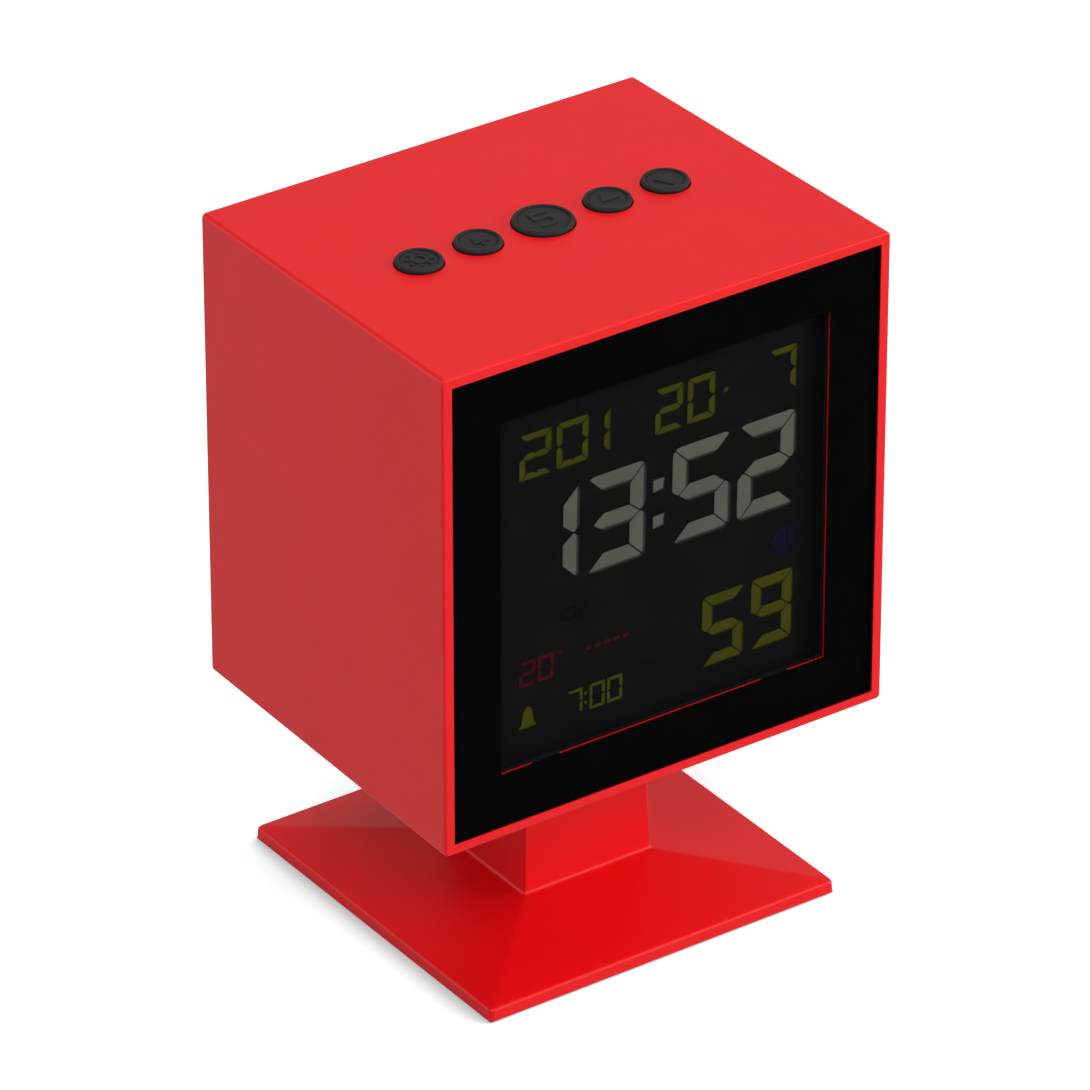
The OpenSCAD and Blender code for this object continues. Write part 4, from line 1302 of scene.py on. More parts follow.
@dataclass
class FrontWindow:
    """The clear pane and the black print behind it."""

    case: Case
    half: float = 48.1
    near: float = -40.2
    print_y: float = -39.6
    print_back: float = -39.4
    print_edge: float = 0.09
    edge_y: float = -40.1
    corner: float = 0.6
    pane_round: float = 0.1
    window_half: float = 37.2

    def plate(self, name: str, half: float, near: float, far: float) -> Mesh:
        """Models a square plate with round corners.

        Args:
            name: Name of the plate.
            half: Half its width.
            near: Depth of its front.
            far: Depth of its back.

        Returns:
            The plate.
        """
        plate = self.case.slab(name, half, near, far)
        Bench.bevel(plate, along_depth, self.corner, 5)
        return plate

    def build(self) -> None:
        """Models the pane and the print, which also wraps the pane's edge."""
        pane = self.plate("clear_front_pane", self.half, self.near, self.print_y)
        Bench.bevel(pane, at_depth(self.near), self.pane_round, 3)
        dress(pane, CLEAR_PANE, Body.CLOCK, ["front_lens"])
        mask = self.plate("black_front_print", self.half + self.print_edge, self.edge_y, self.print_back)
        Bench.cut(
            mask,
            self.plate("pane_seat", self.half, self.near - PAST, self.print_y),
            self.case.slab("window", self.window_half, self.print_y - PAST, self.print_back + PAST),
        )
        dress(mask, BLACK_PRINT, Body.CLOCK, ["lens_mask"])


class SignGroup(Enum):
    """The digits and signs of the display that become one piece, by the piece's name."""

    TIME = "time_digits"
    DATE = "date_digits"
    SECONDS = "seconds_digits"
    ALARM = "alarm_digits"
    WARMTH = "temperature_digits"
    SIGNAL = "clock_signal_sign"
    WEATHER = "weather_sign"


GROUP_FINISHES: dict[SignGroup, Finish] = {
    SignGroup.TIME: PALE_SEGMENT,
    SignGroup.DATE: OLIVE_SEGMENT,
    SignGroup.SECONDS: OLIVE_SEGMENT,
    SignGroup.ALARM: OLIVE_SEGMENT,
    SignGroup.WARMTH: RED_SEGMENT,
    SignGroup.SIGNAL: BLUE_SEGMENT,
    SignGroup.WEATHER: FAINT_SEGMENT,
}


@dataclass(frozen=True)
class DigitStyle:
    """Proportions of a seven-bar digit, in millimetres.

    Attributes:
        width: Width of the digit.
        height: Height of the digit.
        stroke: Width of a bar.
        gap: Width of the slits between the bars.
        corner: Radius of the outer corners.
        soft: Width of the soft edge along the bars.
        split: Whether the level bars are notched in the middle, as in a digit with more bars.
    """

    width: float
    height: float
    stroke: float
    gap: float
    corner: float
    soft: float
    split: bool = False


@dataclass(frozen=True)
class DigitRow:
    """Some digits of one style side by side.

    Attributes:
        group: The piece that the digits become part of.
        style: The digits' proportions.
        foot: Height of the row's foot above the case's lower edge.
        places: Each digit and the place of its left side.
    """

    group: SignGroup
    style: DigitStyle
    foot: float
    places: tuple[tuple[str, float], ...]


@dataclass(frozen=True)
class Dot:
    """A small square dot.

    Attributes:
        group: The piece that the dot becomes part of.
        half: Half its width.
        x: Place of its middle across the case front.
        z: Height of its middle above the case's lower edge.
    """

    group: SignGroup
    half: float
    x: float
    z: float


TIME_STYLE = DigitStyle(width=13.4, height=20.4, stroke=3.65, gap=0.26, corner=1.8, soft=1.1)
DAY_STYLE = DigitStyle(width=7.3, height=9.65, stroke=1.55, gap=0.2, corner=0.9, soft=0.7, split=True)
DATE_STYLE = DigitStyle(width=6.45, height=9.65, stroke=1.55, gap=0.2, corner=0.9, soft=0.7)
SECONDS_STYLE = DigitStyle(width=9.8, height=15.3, stroke=2.65, gap=0.24, corner=1.2, soft=1.0)
ALARM_STYLE = DigitStyle(width=3.5, height=5.45, stroke=0.7, gap=0.12, corner=0.3, soft=0.2)
WARMTH_STYLE = DigitStyle(width=3.7, height=5.5, stroke=0.8, gap=0.12, corner=0.3, soft=0.22)

DIGIT_ROWS = (
    DigitRow(SignGroup.TIME, TIME_STYLE, 48.07, (("1", 17.76), ("3", 32.79), ("5", 52.17), ("2", 67.17))),
    DigitRow(SignGroup.DATE, DAY_STYLE, 72.55, (("2", 17.85), ("0", 26.1), ("1", 31.0))),
    DigitRow(SignGroup.DATE, DATE_STYLE, 72.55, (("2", 48.25), ("0", 55.55), ("7", 74.2))),
    DigitRow(SignGroup.SECONDS, SECONDS_STYLE, 19.0, (("5", 59.3), ("9", 70.65))),
    DigitRow(SignGroup.ALARM, ALARM_STYLE, 19.0, (("7", 28.6), ("0", 33.65), ("0", 37.65))),
    DigitRow(SignGroup.WARMTH, WARMTH_STYLE, 28.9, (("2", 17.75), ("0", 21.85))),
)
DOTS = (
    Dot(SignGroup.TIME, 1.27, 49.2, 54.4),
    Dot(SignGroup.TIME, 1.27, 49.2, 62.1),
    Dot(SignGroup.DATE, 0.45, 64.4, 77.4),
    Dot(SignGroup.ALARM, 0.3, 32.85, 20.9),
    Dot(SignGroup.ALARM, 0.3, 32.85, 22.95),
)


@dataclass
class Display:
    """The digits and signs on the display, as raised bars on the dark film."""

    plane: float = -37.1
    left: float = -49.17
    low: float = 39.99
    slant: float = 0.012
    tip_inset: float = 0.38
    tip_notch: float = 0.33
    height: float = 0.06
    sunk: float = 0.004
    root: float = 0.05
    soft_steps: int = 5
    dot_soft: float = 0.35
    sign_soft: float = 0.15
    bell_at: Span = (19.62, 20.1)
    bell_side: Outline = (
        (2.0, 0.0), (1.95, 0.25), (1.4, 0.8), (1.2, 2.2), (1.0, 3.3), (0.6, 4.1), (0.2, 4.4)
    )
    clapper_y: float = 0.05
    clapper_radius: float = 0.35
    degree_at: Span = (26.97, 33.8)
    degree_ring: Span = (0.5, 0.28)
    dash_at: Span = (32.7, 32.0)
    dash_size: Span = (1.5, 0.9)
    dash_pitch: float = 2.1
    dash_count: int = 5
    signal_at: Span = (77.96, 41.09)
    globe_radius: float = 2.8
    globe_edge: float = 0.05
    globe_top: float = 2.7
    slit_count: int = 3
    slit_pitch: float = 0.95
    slit_half: Span = (0.13, 2.1)
    weather_at: Span = (28.9, 41.2)
    cloud_line: float = 0.3
    cloud_span: Span = (-1.1, 0.7)
    cloud_foot: float = -1.1
    puffs: tuple[Point, ...] = ((-1.1, -0.3, 0.8), (0.4, 0.25, 1.35))
    sun_at: Span = (1.6, 0.2)
    sun_ring: Span = (1.3, 1.0)
    sun_gap: float = 0.05
    ray_count: int = 5
    ray_pitch: float = 40.0
    ray_turn: float = 20.0
    ray_span: Span = (1.7, 2.4)
    ray_half: float = 0.15
    parts: dict[SignGroup, list[Mesh]] = field(default_factory=dict)

    def build(self) -> None:
        """Models all digits and signs, and dresses each group."""
        for digits in DIGIT_ROWS:
            self.write(digits)
        for dot in DOTS:
            half = dot.half
            square = Bench.box("dot", (-half, -half, 0), (half, half, 1))
            self.mark(dot.group, self.soften(square, self.dot_soft * half), dot.x, dot.z)
        self.mark(SignGroup.ALARM, self.bell(), *self.bell_at)
        self.mark(SignGroup.WARMTH, self.ring(*self.degree_ring), *self.degree_at)
        x, z = self.dash_at
        for step in range(self.dash_count):
            dash = self.soften(Bench.box("dash", (0, 0, 0), (*self.dash_size, 1)), self.sign_soft)
            self.mark(SignGroup.WARMTH, dash, x + self.dash_pitch * step, z)
        self.mark(SignGroup.SIGNAL, self.globe(), *self.signal_at)
        for sign in self.weather():
            self.mark(SignGroup.WEATHER, sign, *self.weather_at)
        for group, pieces in self.parts.items():
            dress(Bench.merge(group.value, pieces), GROUP_FINISHES[group], Body.CLOCK)

    def add(self, group: SignGroup, piece: Mesh) -> None:
        """Keeps a body for a group of signs that become one piece."""
        self.parts.setdefault(group, []).append(piece)

    def mark(self, group: SignGroup, sign: Mesh, x: float, z: float) -> None:
        """Stands a flat sign up on the film and keeps it for a group."""
        sign.data.transform(self.standing(x, z))
        self.add(group, sign)

    def standing(self, x: float, z: float) -> Matrix:
        """Returns the matrix that stands a flat sign up on the film.

        Args:
            x: Place of the sign's origin across the case front.
            z: Height of the sign's origin above the case's lower edge.

        Returns:
            The matrix, which also slants the sign to the right.
        """
        up = Matrix.Rotation(math.pi / 2, 4, "X")
        lean = Matrix.Identity(4)
        lean[0][1] = self.slant
        return place(self.left + x, self.plane, self.low + z) @ up @ lean

    def write(self, digits: DigitRow) -> None:
        """Sets some digits in a row.

        Args:
            digits: The digits, their style and their places.
        """
        bars = self.eight(digits.style)
        for digit, x in digits.places:
            for kind in DIGITS[digit]:
                bar = Bench.copy(bars[kind], digits.group.value, self.standing(x, digits.foot))
                self.add(digits.group, bar)
        for bar in bars.values():
            bpy.data.objects.remove(bar)

    def eight(self, style: DigitStyle) -> dict[Segment, Mesh]:
        """Models all bars of a digit: a plate with two windows, slit at its corners.

        Args:
            style: The digit's proportions.

        Returns:
            Each bar, lying flat, with the digit's lower left corner at the origin.
        """
        w, h, t = style.width, style.height, style.stroke
        plate = Bench.box("eight", (0, 0, 0), (w, h, 1))
        Bench.bevel(plate, lambda middle, way: abs(way.z) > ALONG, style.corner, 6)
        for low, high in ((t, h / 2 - t / 2), (h / 2 + t / 2, h - t)):
            Bench.cut(plate, Bench.box("window", (t, low, -PAST), (w - t, high, 1 + PAST)))
        self.soften(plate, style.soft)
        Bench.cut(plate, *self.slits(style))
        Bench.pick(plate)
        bpy.ops.object.mode_set(mode="EDIT")
        bpy.ops.mesh.select_all(action="SELECT")
        bpy.ops.mesh.separate(type="LOOSE")
        bpy.ops.object.mode_set(mode="OBJECT")
        bars: dict[Segment, Mesh] = {}
        for bar in list(bpy.context.selected_objects):
            points = [v.co / MM for v in bar.data.vertices]
            middle = sum(points, Vector()) / len(points)
            share = Vector((middle.x / w, middle.y / h))
            kind = min(Segment, key=lambda s: (Vector(s.value) - share).length)
            bars[kind] = bar
        return bars

    def slits(self, style: DigitStyle) -> list[Mesh]:
        """Returns the cutters that part the bars of a digit.

        Args:
            style: The digit's proportions.

        Returns:
            The slits at the corners, the notches at the sides and, if the style has them, in the level bars.
        """
        w, h, t = style.width, style.height, style.stroke
        cuts = []
        for x, inward in ((0, 1), (w, -1)):
            tip, inner = (x + inward * self.tip_inset * t, h / 2), x + inward * t
            ends = [((x, h), (inner, h - t)), ((x, 0), (inner, t)),
                    (tip, (inner, h / 2 + t / 2)), (tip, (inner, h / 2 - t / 2))]
            cuts += [self.blade(start, end, style.gap) for start, end in ends]
            cuts.append(self.diamond((x, h / 2), self.tip_inset * t, self.tip_notch * t))
        if style.split:
            for y in (t, h / 2 - t / 2, h / 2 + t / 2, h - t):
                cuts.append(self.diamond((w / 2, y), t / 3, t / 3))
        return cuts

    def soften(self, sign: Mesh, soft: float) -> Mesh:
        """Rounds the rim of a sign that is a millimetre high, then presses it nearly flat.

        Args:
            sign: The sign, standing on z = 0.
            soft: Width of the soft edge.

        Returns:
            The sign, sunk into the film a little.
        """
        Bench.edit(sign, Pick.FACES, upward)
        bpy.ops.mesh.region_to_loop()
        bpy.ops.mesh.bevel(
            offset=soft * MM,
            offset_type="OFFSET",
            segments=self.soft_steps,
            affect="EDGES",
            clamp_overlap=True,
            loop_slide=False,
        )
        Bench.clear()
        press = Matrix.Diagonal((1, 1, self.height, 1))
        sign.data.transform(place(0, 0, -self.sunk) @ press)
        return sign

    def diamond(self, middle: tuple[float, float], half_x: float, half_y: float) -> Mesh:
        """Models the cutter of a notch with a point on each side.

        Args:
            middle: Its middle on the digit.
            half_x: Half its width.
            half_y: Half its height.

        Returns:
            The cutter.
        """
        x, y = middle
        outline = [(x + half_x, y), (x, y + half_y), (x - half_x, y), (x, y - half_y)]
        return Bench.flat("notch", outline, -2 * PAST, 2 * PAST)

    def blade(self, start: Point, end: Point, gap: float) -> Mesh:
        """Models a thin upright cutter that goes a little past both of its ends.

        Args:
            start: One end on the digit.
            end: The other end.
            gap: Its thickness.

        Returns:
            The cutter.
        """
        way = Vector((end[0] - start[0], end[1] - start[1], 0))
        length = way.length / 2 + gap
        blade = Bench.box("blade", (-length, -gap / 2, -2 * PAST), (length, gap / 2, 2 * PAST))
        turn = Matrix.Rotation(math.atan2(way.y, way.x), 4, "Z")
        blade.data.transform(place((start[0] + end[0]) / 2, (start[1] + end[1]) / 2, 0) @ turn)
        return blade

    def ring(self, outer: float, inner: float) -> Mesh:
        """Models a flat raised ring.

        Args:
            outer: Its outer radius.
            inner: Its inner radius.

        Returns:
            The ring.
        """
        ring = Bench.rod("ring", (0, 0, 0), Axis.UP, outer, (-self.root, self.height), 28)
        Bench.cut(ring, Bench.rod("bore", (0, 0, 0), Axis.UP, inner, (-PAST, PAST), 24))
        return ring

    def bell(self) -> Mesh:
        """Models the alarm's bell sign.

        Returns:
            The sign, with its foot at the origin.
        """
        outline = [*self.bell_side, *((-x, y) for x, y in reversed(self.bell_side))]
        bell = Bench.flat("bell", outline, 0, 1)
        foot = (0, self.clapper_y, 0)
        Bench.unite(bell, Bench.rod("clapper", foot, Axis.UP, self.clapper_radius, (0, 1), 20))
        return self.soften(bell, self.sign_soft)

    def globe(self) -> Mesh:
        """Models the round sign beside the time.

        Returns:
            The disc with its upright slits.
        """
        radius = self.globe_radius
        rings = [(radius, -self.root), (radius, self.globe_edge), (self.globe_top, self.height)]
        disc = Bench.turned("disc", (0, 0, 0), Axis.UP, rings, 40)
        half_x, half_y = self.slit_half
        for x in row(self.slit_count, self.slit_pitch):
            Bench.cut(disc, Bench.box("slit", (x - half_x, -half_y, -PAST), (x + half_x, half_y, PAST)))
        return disc

    def weather(self) -> list[Mesh]:
        """Models the dim sign of a sun behind a cloud.

        Returns:
            The outlined cloud, the sun's arc and some rays.
        """
        cloud = self.cloud(0.0)
        Bench.cut(cloud, self.cloud(self.cloud_line))
        sun_place = place(*self.sun_at, 0)
        sun = self.ring(*self.sun_ring)
        sun.data.transform(sun_place)
        Bench.cut(sun, self.cloud(self.sun_gap))
        signs = [cloud, sun]
        start, end = self.ray_span
        for angle in row(self.ray_count, self.ray_pitch):
            low = (start, -self.ray_half, -self.root)
            ray = Bench.box("ray", low, (end, self.ray_half, self.height))
            turn = Matrix.Rotation(math.radians(angle + self.ray_turn), 4, "Z")
            ray.data.transform(sun_place @ turn)
            signs.append(ray)
        return signs

    def cloud(self, inset: float) -> Mesh:
        """Models a flat cloud of two puffs.

        Args:
            inset: What its outline is smaller by. It is taller by as much, so that it can cut.

        Returns:
            The cloud.
        """
        span = (-self.root - inset, self.height + inset)
        left, right = self.cloud_span
        cloud = Bench.box("cloud", (left, inset + self.cloud_foot, span[0]), (right, 0.0, span[1]))
        for x, y, radius in self.puffs:
            Bench.unite(cloud, Bench.rod("puff", (x, y, 0), Axis.UP, radius - inset, span, 28))
        return cloud


@dataclass(frozen=True)
class RearLayout:
    """Places that the rear cover shares with the battery door, the cells and the power socket."""

    case: Case
    bay_rise: float = 38.3
    socket_rise: float = 10.3
    door_half_x: float = 27.5
    door_half_z: float = 18.5
    door_round: float = 1.2

    @property
    def bay_z(self) -> float:
        """Height of the middle of the battery bay."""
        return self.case.floor + self.bay_rise

    @property
    def socket_z(self) -> float:
        """Height of the middle of the power socket."""
        return self.case.floor + self.socket_rise

    @property
    def door_low(self) -> float:
        """Height of the lower edge of the battery door."""
        return self.bay_z - self.door_half_z

    @property
    def hinge(self) -> tuple[float, float]:
        """Depth and height of the door's hinge axis."""
        return self.case.back - self.door_round, self.bay_z + self.door_half_z - self.door_round


@dataclass
class RearCover:
    """The rear cover with its battery bay, sound slots and screws."""

    layout: RearLayout
    edge_gap: float = 0.15
    inner: float = 37.9
    corner_round: float = 0.5
    rim_round: float = 0.25
    bay_half_x: float = 26.25
    bay_half_z: float = 17.5
    bay_floor: float = 25.3
    bay_wall: float = 2.0
    bay_round: float = 0.6
    tub_round: float = 1.0
    door_gap: float = 0.25
    pin_radius: float = 0.75
    pin_reach: float = 29.35
    slot_z: float = 117.8
    slot_pitch: float = 2.8
    slot_count: int = 6
    slot_half: float = 9.0
    slot_height: float = 1.2
    slot_round: float = 0.98
    notch_half: float = 7.0
    notch_height: float = 2.5
    notch_depth: float = 0.8
    notch_rise: float = 0.5
    notch_round: float = 1.2
    socket_half_x: float = 4.05
    socket_half_z: float = 2.15
    post_inset: float = 4.5
    head_radius: float = 2.4
    head_height: float = 1.4
    head_gap: float = 0.25
    head_sink: float = 0.1
    hole_radius: float = 1.5
    hole_length: float = 3.0
    shank_radius: float = 1.25
    shank_length: float = 9.0

    @property
    def back(self) -> float:
        """Depth of the outer face."""
        return self.layout.case.back

    def build(self) -> None:
        """Models the cover and its four screws."""
        half = self.layout.case.inner_half - self.edge_gap
        cover = self.layout.case.slab("rear_cover_plate", half, self.inner, self.back)
        Bench.bevel(cover, along_depth, self.corner_round, 4)
        Bench.bevel(cover, at_depth(self.back), self.rim_round, 3)
        Bench.unite(cover, self.tub())
        Bench.cut(cover, self.bay(), *self.door_cutters(), self.socket_hole())
        Bench.cut(cover, *[self.sound_slot(self.slot_z + z) for z in row(self.slot_count, self.slot_pitch)])
        for x, z in self.posts():
            Bench.cut(cover, *self.screw_bores(x, z))
        dress(cover, RED, Body.CLOCK, ["rear_cover"])
        self.build_screws()

    def tub(self) -> Mesh:
        """Models the outside of the battery bay.

        Returns:
            The closed tub.
        """
        half_x, half_z = self.bay_half_x + self.bay_wall, self.bay_half_z + self.bay_wall
        near, far = self.bay_floor - self.bay_wall, self.inner + OVERLAP
        tub = Bench.block("tub", self.layout.bay_z, half_x, half_z, near, far)
        Bench.bevel(tub, walls_and_floor(near), self.tub_round, 3)
        return tub

    def bay(self) -> Mesh:
        """Models the inside of the battery bay.

        Returns:
            The cutter.
        """
        near, far = self.bay_floor, self.back + PAST
        bay = Bench.block("bay", self.layout.bay_z, self.bay_half_x, self.bay_half_z, near, far)
        Bench.bevel(bay, walls_and_floor(near), self.bay_round, 3)
        return bay

    def door_cutters(self) -> list[Mesh]:
        """Models the room for the battery door.

        Returns:
            The cutters of the door's seat, its thumb notch and its pin holes.
        """
        half_x, half_z = self.layout.door_half_x + self.door_gap, self.layout.door_half_z + self.door_gap
        bay_z, far = self.layout.bay_z, self.back + PAST
        pin_foot = (-self.pin_reach, *self.layout.hinge)
        return [
            Bench.block("door_seat", bay_z, half_x, half_z, self.inner, far),
            self.thumb_notch(bay_z - half_z),
            Bench.rod("pin_hole", pin_foot, Axis.RIGHT, self.pin_radius, (0, 2 * self.pin_reach)),
        ]

    def thumb_notch(self, z: float) -> Mesh:
        """Models the shallow notch under the battery door, with round lower corners.

        Args:
            z: Height of the lower edge of the door's seat.

        Returns:
            The cutter.
        """
        low = (-self.notch_half, self.back - self.notch_depth, z - self.notch_height)
        notch = Bench.box("notch", low, (self.notch_half, self.back + PAST, z + self.notch_rise))
        Bench.bevel(notch, lambda middle, way: abs(way.y) > ALONG and middle.z < z, self.notch_round, 4)
        return notch

    def socket_hole(self) -> Mesh:
        """Models the hole for the power socket.

        Returns:
            The cutter.
        """
        near, far = self.inner - PAST, self.back + PAST
        z = self.layout.socket_z
        return Bench.block("socket_hole", z, self.socket_half_x, self.socket_half_z, near, far)

    def sound_slot(self, z: float) -> Mesh:
        """Models a sound slot with round ends.

        Args:
            z: Height of its middle.

        Returns:
            The cutter.
        """
        half = self.slot_height / 2
        slot = Bench.block("slot", z, self.slot_half, half, self.inner - PAST, self.back + PAST)
        Bench.bevel(slot, along_depth, half * self.slot_round, 6)
        return slot

    def posts(self) -> list[tuple[float, float]]:
        """Returns the place across and up of each screw."""
        case = self.layout.case
        return [(x, case.middle + z) for x, z in corners(case.inner_half - self.post_inset)]

    def screw_bores(self, x: float, z: float) -> list[Mesh]:
        """Models the room for a screw.

        Args:
            x: Place of the screw across the cover.
            z: Height of the screw.

        Returns:
            The cutters of the counterbore and the hole.
        """
        span = (0, self.hole_length)
        reach = self.head_radius + self.head_gap
        return [
            Bench.rod("bore", (x, self.back - self.head_height, z), Axis.BACK, reach, span, 40),
            Bench.rod("hole", (x, self.inner - PAST, z), Axis.BACK, self.hole_radius, span),
        ]

    def build_screws(self) -> None:
        """Models one screw and copies it to the four posts."""
        height = self.head_height - self.head_sink
        screw = CrossedScrew(
            "cover_screw", self.head_radius, height, self.shank_radius, self.shank_length
        ).build()
        turn = Matrix.Rotation(-math.pi / 2, 4, "X")
        spots = [place(x, self.back - self.head_height, z) @ turn for x, z in self.posts()]
        screws = Bench.repeat("cover_screws", screw, spots)
        dress(screws, SCREW_STEEL, Body.CLOCK, ["rear_cover_screws"])


@dataclass
class BatteryDoor:
    """The battery door with its round hinge edge, pins, latch tongue and grip grooves."""

    layout: RearLayout
    rim_round: float = 0.3
    pin_radius: float = 0.7
    pin_reach: float = 29.1
    pin_round: float = 0.15
    tongue_half: float = 5.0
    tongue_rise: float = 1.8
    tongue_thick: float = 1.2
    tongue_length: float = 3.0
    groove_count: int = 5
    groove_low: float = 3.0
    groove_pitch: float = 1.5
    groove_half: float = 8.0
    groove_radius: float = 0.5
    groove_out: float = 0.25
    edge_steps: int = 24

    @property
    def inner(self) -> float:
        """Depth of the inner face."""
        return self.layout.hinge[0] - self.layout.door_round

    @property
    def outer(self) -> float:
        """Depth of the outer face."""
        return self.layout.hinge[0] + self.layout.door_round

    def build(self) -> Mesh:
        """Models the door.

        Returns:
            The dressed door.
        """
        low, outer = self.layout.door_low, self.outer
        door = self.panel()
        Bench.bevel(
            door,
            lambda middle, way: middle.y > outer - NEAR and (middle.z < low + NEAR or abs(way.z) > ALONG),
            self.rim_round,
            3,
        )
        for step in range(self.groove_count):
            z = low + self.groove_low + self.groove_pitch * step
            foot, span = (-self.groove_half, outer + self.groove_out, z), (0, 2 * self.groove_half)
            Bench.cut(door, Bench.rod("groove", foot, Axis.RIGHT, self.groove_radius, span, 24))
        Bench.unite(door, self.pin(), self.tongue())
        return dress(door, RED, Body.LID, ["battery_door"])

    def panel(self) -> Mesh:
        """Models the plain door: its profile with the half-round hinge edge, drawn out along X.

        Returns:
            The panel.
        """
        hinge_y, hinge_z = self.layout.hinge
        low, radius, half = self.layout.door_low, self.layout.door_round, self.layout.door_half_x
        profile = [(self.inner, low), (self.outer, low)]
        for step in range(self.edge_steps + 1):
            turn = math.pi * step / self.edge_steps
            profile.append((hinge_y + radius * math.cos(turn), hinge_z + radius * math.sin(turn)))
        panel = Bench.flat("battery_lid", profile, -half, half)
        along_x = Matrix(((0, 0, 1, 0), (1, 0, 0, 0), (0, 1, 0, 0), (0, 0, 0, 1)))
        panel.data.transform(along_x)
        return panel

    def pin(self) -> Mesh:
        """Models the hinge pin, which shows at both ends of the door.

        Returns:
            The pin.
        """
        length, radius, edge = 2 * self.pin_reach, self.pin_radius, self.pin_round
        rings = [(radius - edge, 0), (radius, edge), (radius, length - edge), (radius - edge, length)]
        return Bench.turned("pin", (-self.pin_reach, *self.layout.hinge), Axis.RIGHT, rings, 32)

    def tongue(self) -> Mesh:
        """Models the latch tongue on the inner face.

        Returns:
            The tongue.
        """
        low, near = self.layout.door_low + self.tongue_rise, self.inner - self.tongue_length
        high = (self.tongue_half, self.inner + OVERLAP, low + self.tongue_thick)
        tongue = Bench.box("tongue", (-self.tongue_half, near, low), high)
        Bench.bevel(tongue, at_depth(near), self.rim_round, 2)
        return tongue


@dataclass
class BatteryCells:
    """The cells in the bay, each with a sleeve, shoulders and a button."""

    layout: RearLayout
    count: int = 3
    y: float = 30.65
    pitch: float = 11.2
    radius: float = 5.25
    length: float = 44.5
    foot_edge: Outline = ((0.9, 0.12), (0.8, 0.0), (0.35, 0.0), (0.08, 0.12), (0.0, 0.4))
    head_edge: Outline = ((0.0, 0.5), (0.1, 0.18), (0.4, 0.0), (0.9, 0.0), (1.0, 0.12))
    button: float = 1.9
    button_length: float = 1.0
    button_round: float = 0.2
    seat_gap: float = 0.1
    seat_depth: float = 0.12

    def build(self) -> None:
        """Models one cell and sets the cells head to tail."""
        r, length, button = self.radius, self.length, self.button
        body = length - self.button_length
        rings = [(r - inset, rise) for inset, rise in self.foot_edge]
        rings += [(r - inset, body - drop) for inset, drop in self.head_edge]
        rings += [(button + self.seat_gap, body - self.seat_depth), (button, body)]
        rings += [(button, length - self.button_round), (button - self.button_round, length)]
        cell = Bench.turned("cell", (-length / 2, 0, 0), Axis.RIGHT, rings)
        spots = []
        for step, z in enumerate(row(self.count, self.pitch)):
            turn = Matrix.Rotation(math.pi * (step % 2), 4, "Z")
            spots.append(place(0, self.y, self.layout.bay_z + z) @ turn)
        cells = Bench.repeat("cell_set", cell, spots)
        dress(cells, CELL_SLEEVE, Body.CLOCK, ["battery_cells"])


@dataclass
class PowerSocket:
    """The power socket: a folded sheet shell and a tongue with contacts."""

    z: float
    half_x: float = 3.85
    half_z: float = 1.95
    near: float = 30.9
    far: float = 39.9
    sheet: float = 0.35
    shell_round: float = 0.6
    hollow_round: float = 0.35
    lip_round: float = 0.1
    tongue_half_x: float = 2.695
    tongue_half_z: float = 0.468
    tongue_far: float = 38.4
    tongue_round: float = 0.15
    contact_count: int = 5
    contact_pitch: float = 0.95
    contact_half: float = 0.2
    contact_short: float = 0.3
    contact_proud: float = 0.06
    contact_root: float = 0.05
    contact_round: float = 0.04

    @property
    def root(self) -> float:
        """Depth of the back wall's outer side, which the tongue grows from."""
        return self.near + self.sheet

    def build(self) -> None:
        """Models the shell, the tongue and its contacts."""
        shell = Bench.block("socket_sleeve", self.z, self.half_x, self.half_z, self.near, self.far)
        Bench.bevel(shell, along_depth, self.shell_round, 4)
        half_x, half_z = self.half_x - self.sheet, self.half_z - self.sheet
        hollow = Bench.block("hollow", self.z, half_x, half_z, self.root, self.far + PAST)
        Bench.bevel(hollow, along_depth, self.hollow_round, 4)
        Bench.cut(shell, hollow)
        Bench.bevel(shell, at_depth(self.far), self.lip_round, 2)
        dress(shell, PLATED_STEEL, Body.CLOCK, ["socket_shell"])
        half_x, half_z = self.tongue_half_x, self.tongue_half_z
        tongue = Bench.block("socket_tongue_block", self.z, half_x, half_z, self.root, self.tongue_far)
        Bench.bevel(tongue, at_depth(self.tongue_far), self.tongue_round, 2)
        dress(tongue, BLACK_PLASTIC, Body.CLOCK, ["socket_tongue"])
        strips = [self.contact(x) for x in row(self.contact_count, self.contact_pitch)]
        dress(Bench.merge("socket_contacts", strips), CONTACT_BRASS, Body.CLOCK)

    def contact(self, x: float) -> Mesh:
        """Models one contact strip under the tongue.

        Args:
            x: Its place across the tongue.

        Returns:
            The strip.
        """
        half, far = self.contact_half, self.tongue_far - self.contact_short
        under = self.z - self.tongue_half_z
        low = (x - half, self.root + half, under - self.contact_proud)
        strip = Bench.box("contact", low, (x + half, far, under + self.contact_root))
        Bench.bevel(strip, at_depth(far), self.contact_round, 2)
        return strip


def seen(tree: bpy.types.NodeTree) -> bpy.types.NodeSocket:
    """Returns 1 for rays from the camera, from gloss and through glass, and 0 for the rest.

    Args:
        tree: The node tree to add the test to.

    Returns:
        The test's result.
    """
    path = tree.nodes.new("ShaderNodeLightPath")
    found = path.outputs["Is Camera Ray"]
    for name in ("Is Glossy Ray", "Is Transmission Ray"):
        either = tree.nodes.new("ShaderNodeMath")
        either.operation = "MAXIMUM"
        tree.links.new(found, either.inputs[0])
        tree.links.new(path.outputs[name], either.inputs[1])
        found = either.outputs[0]
    return found


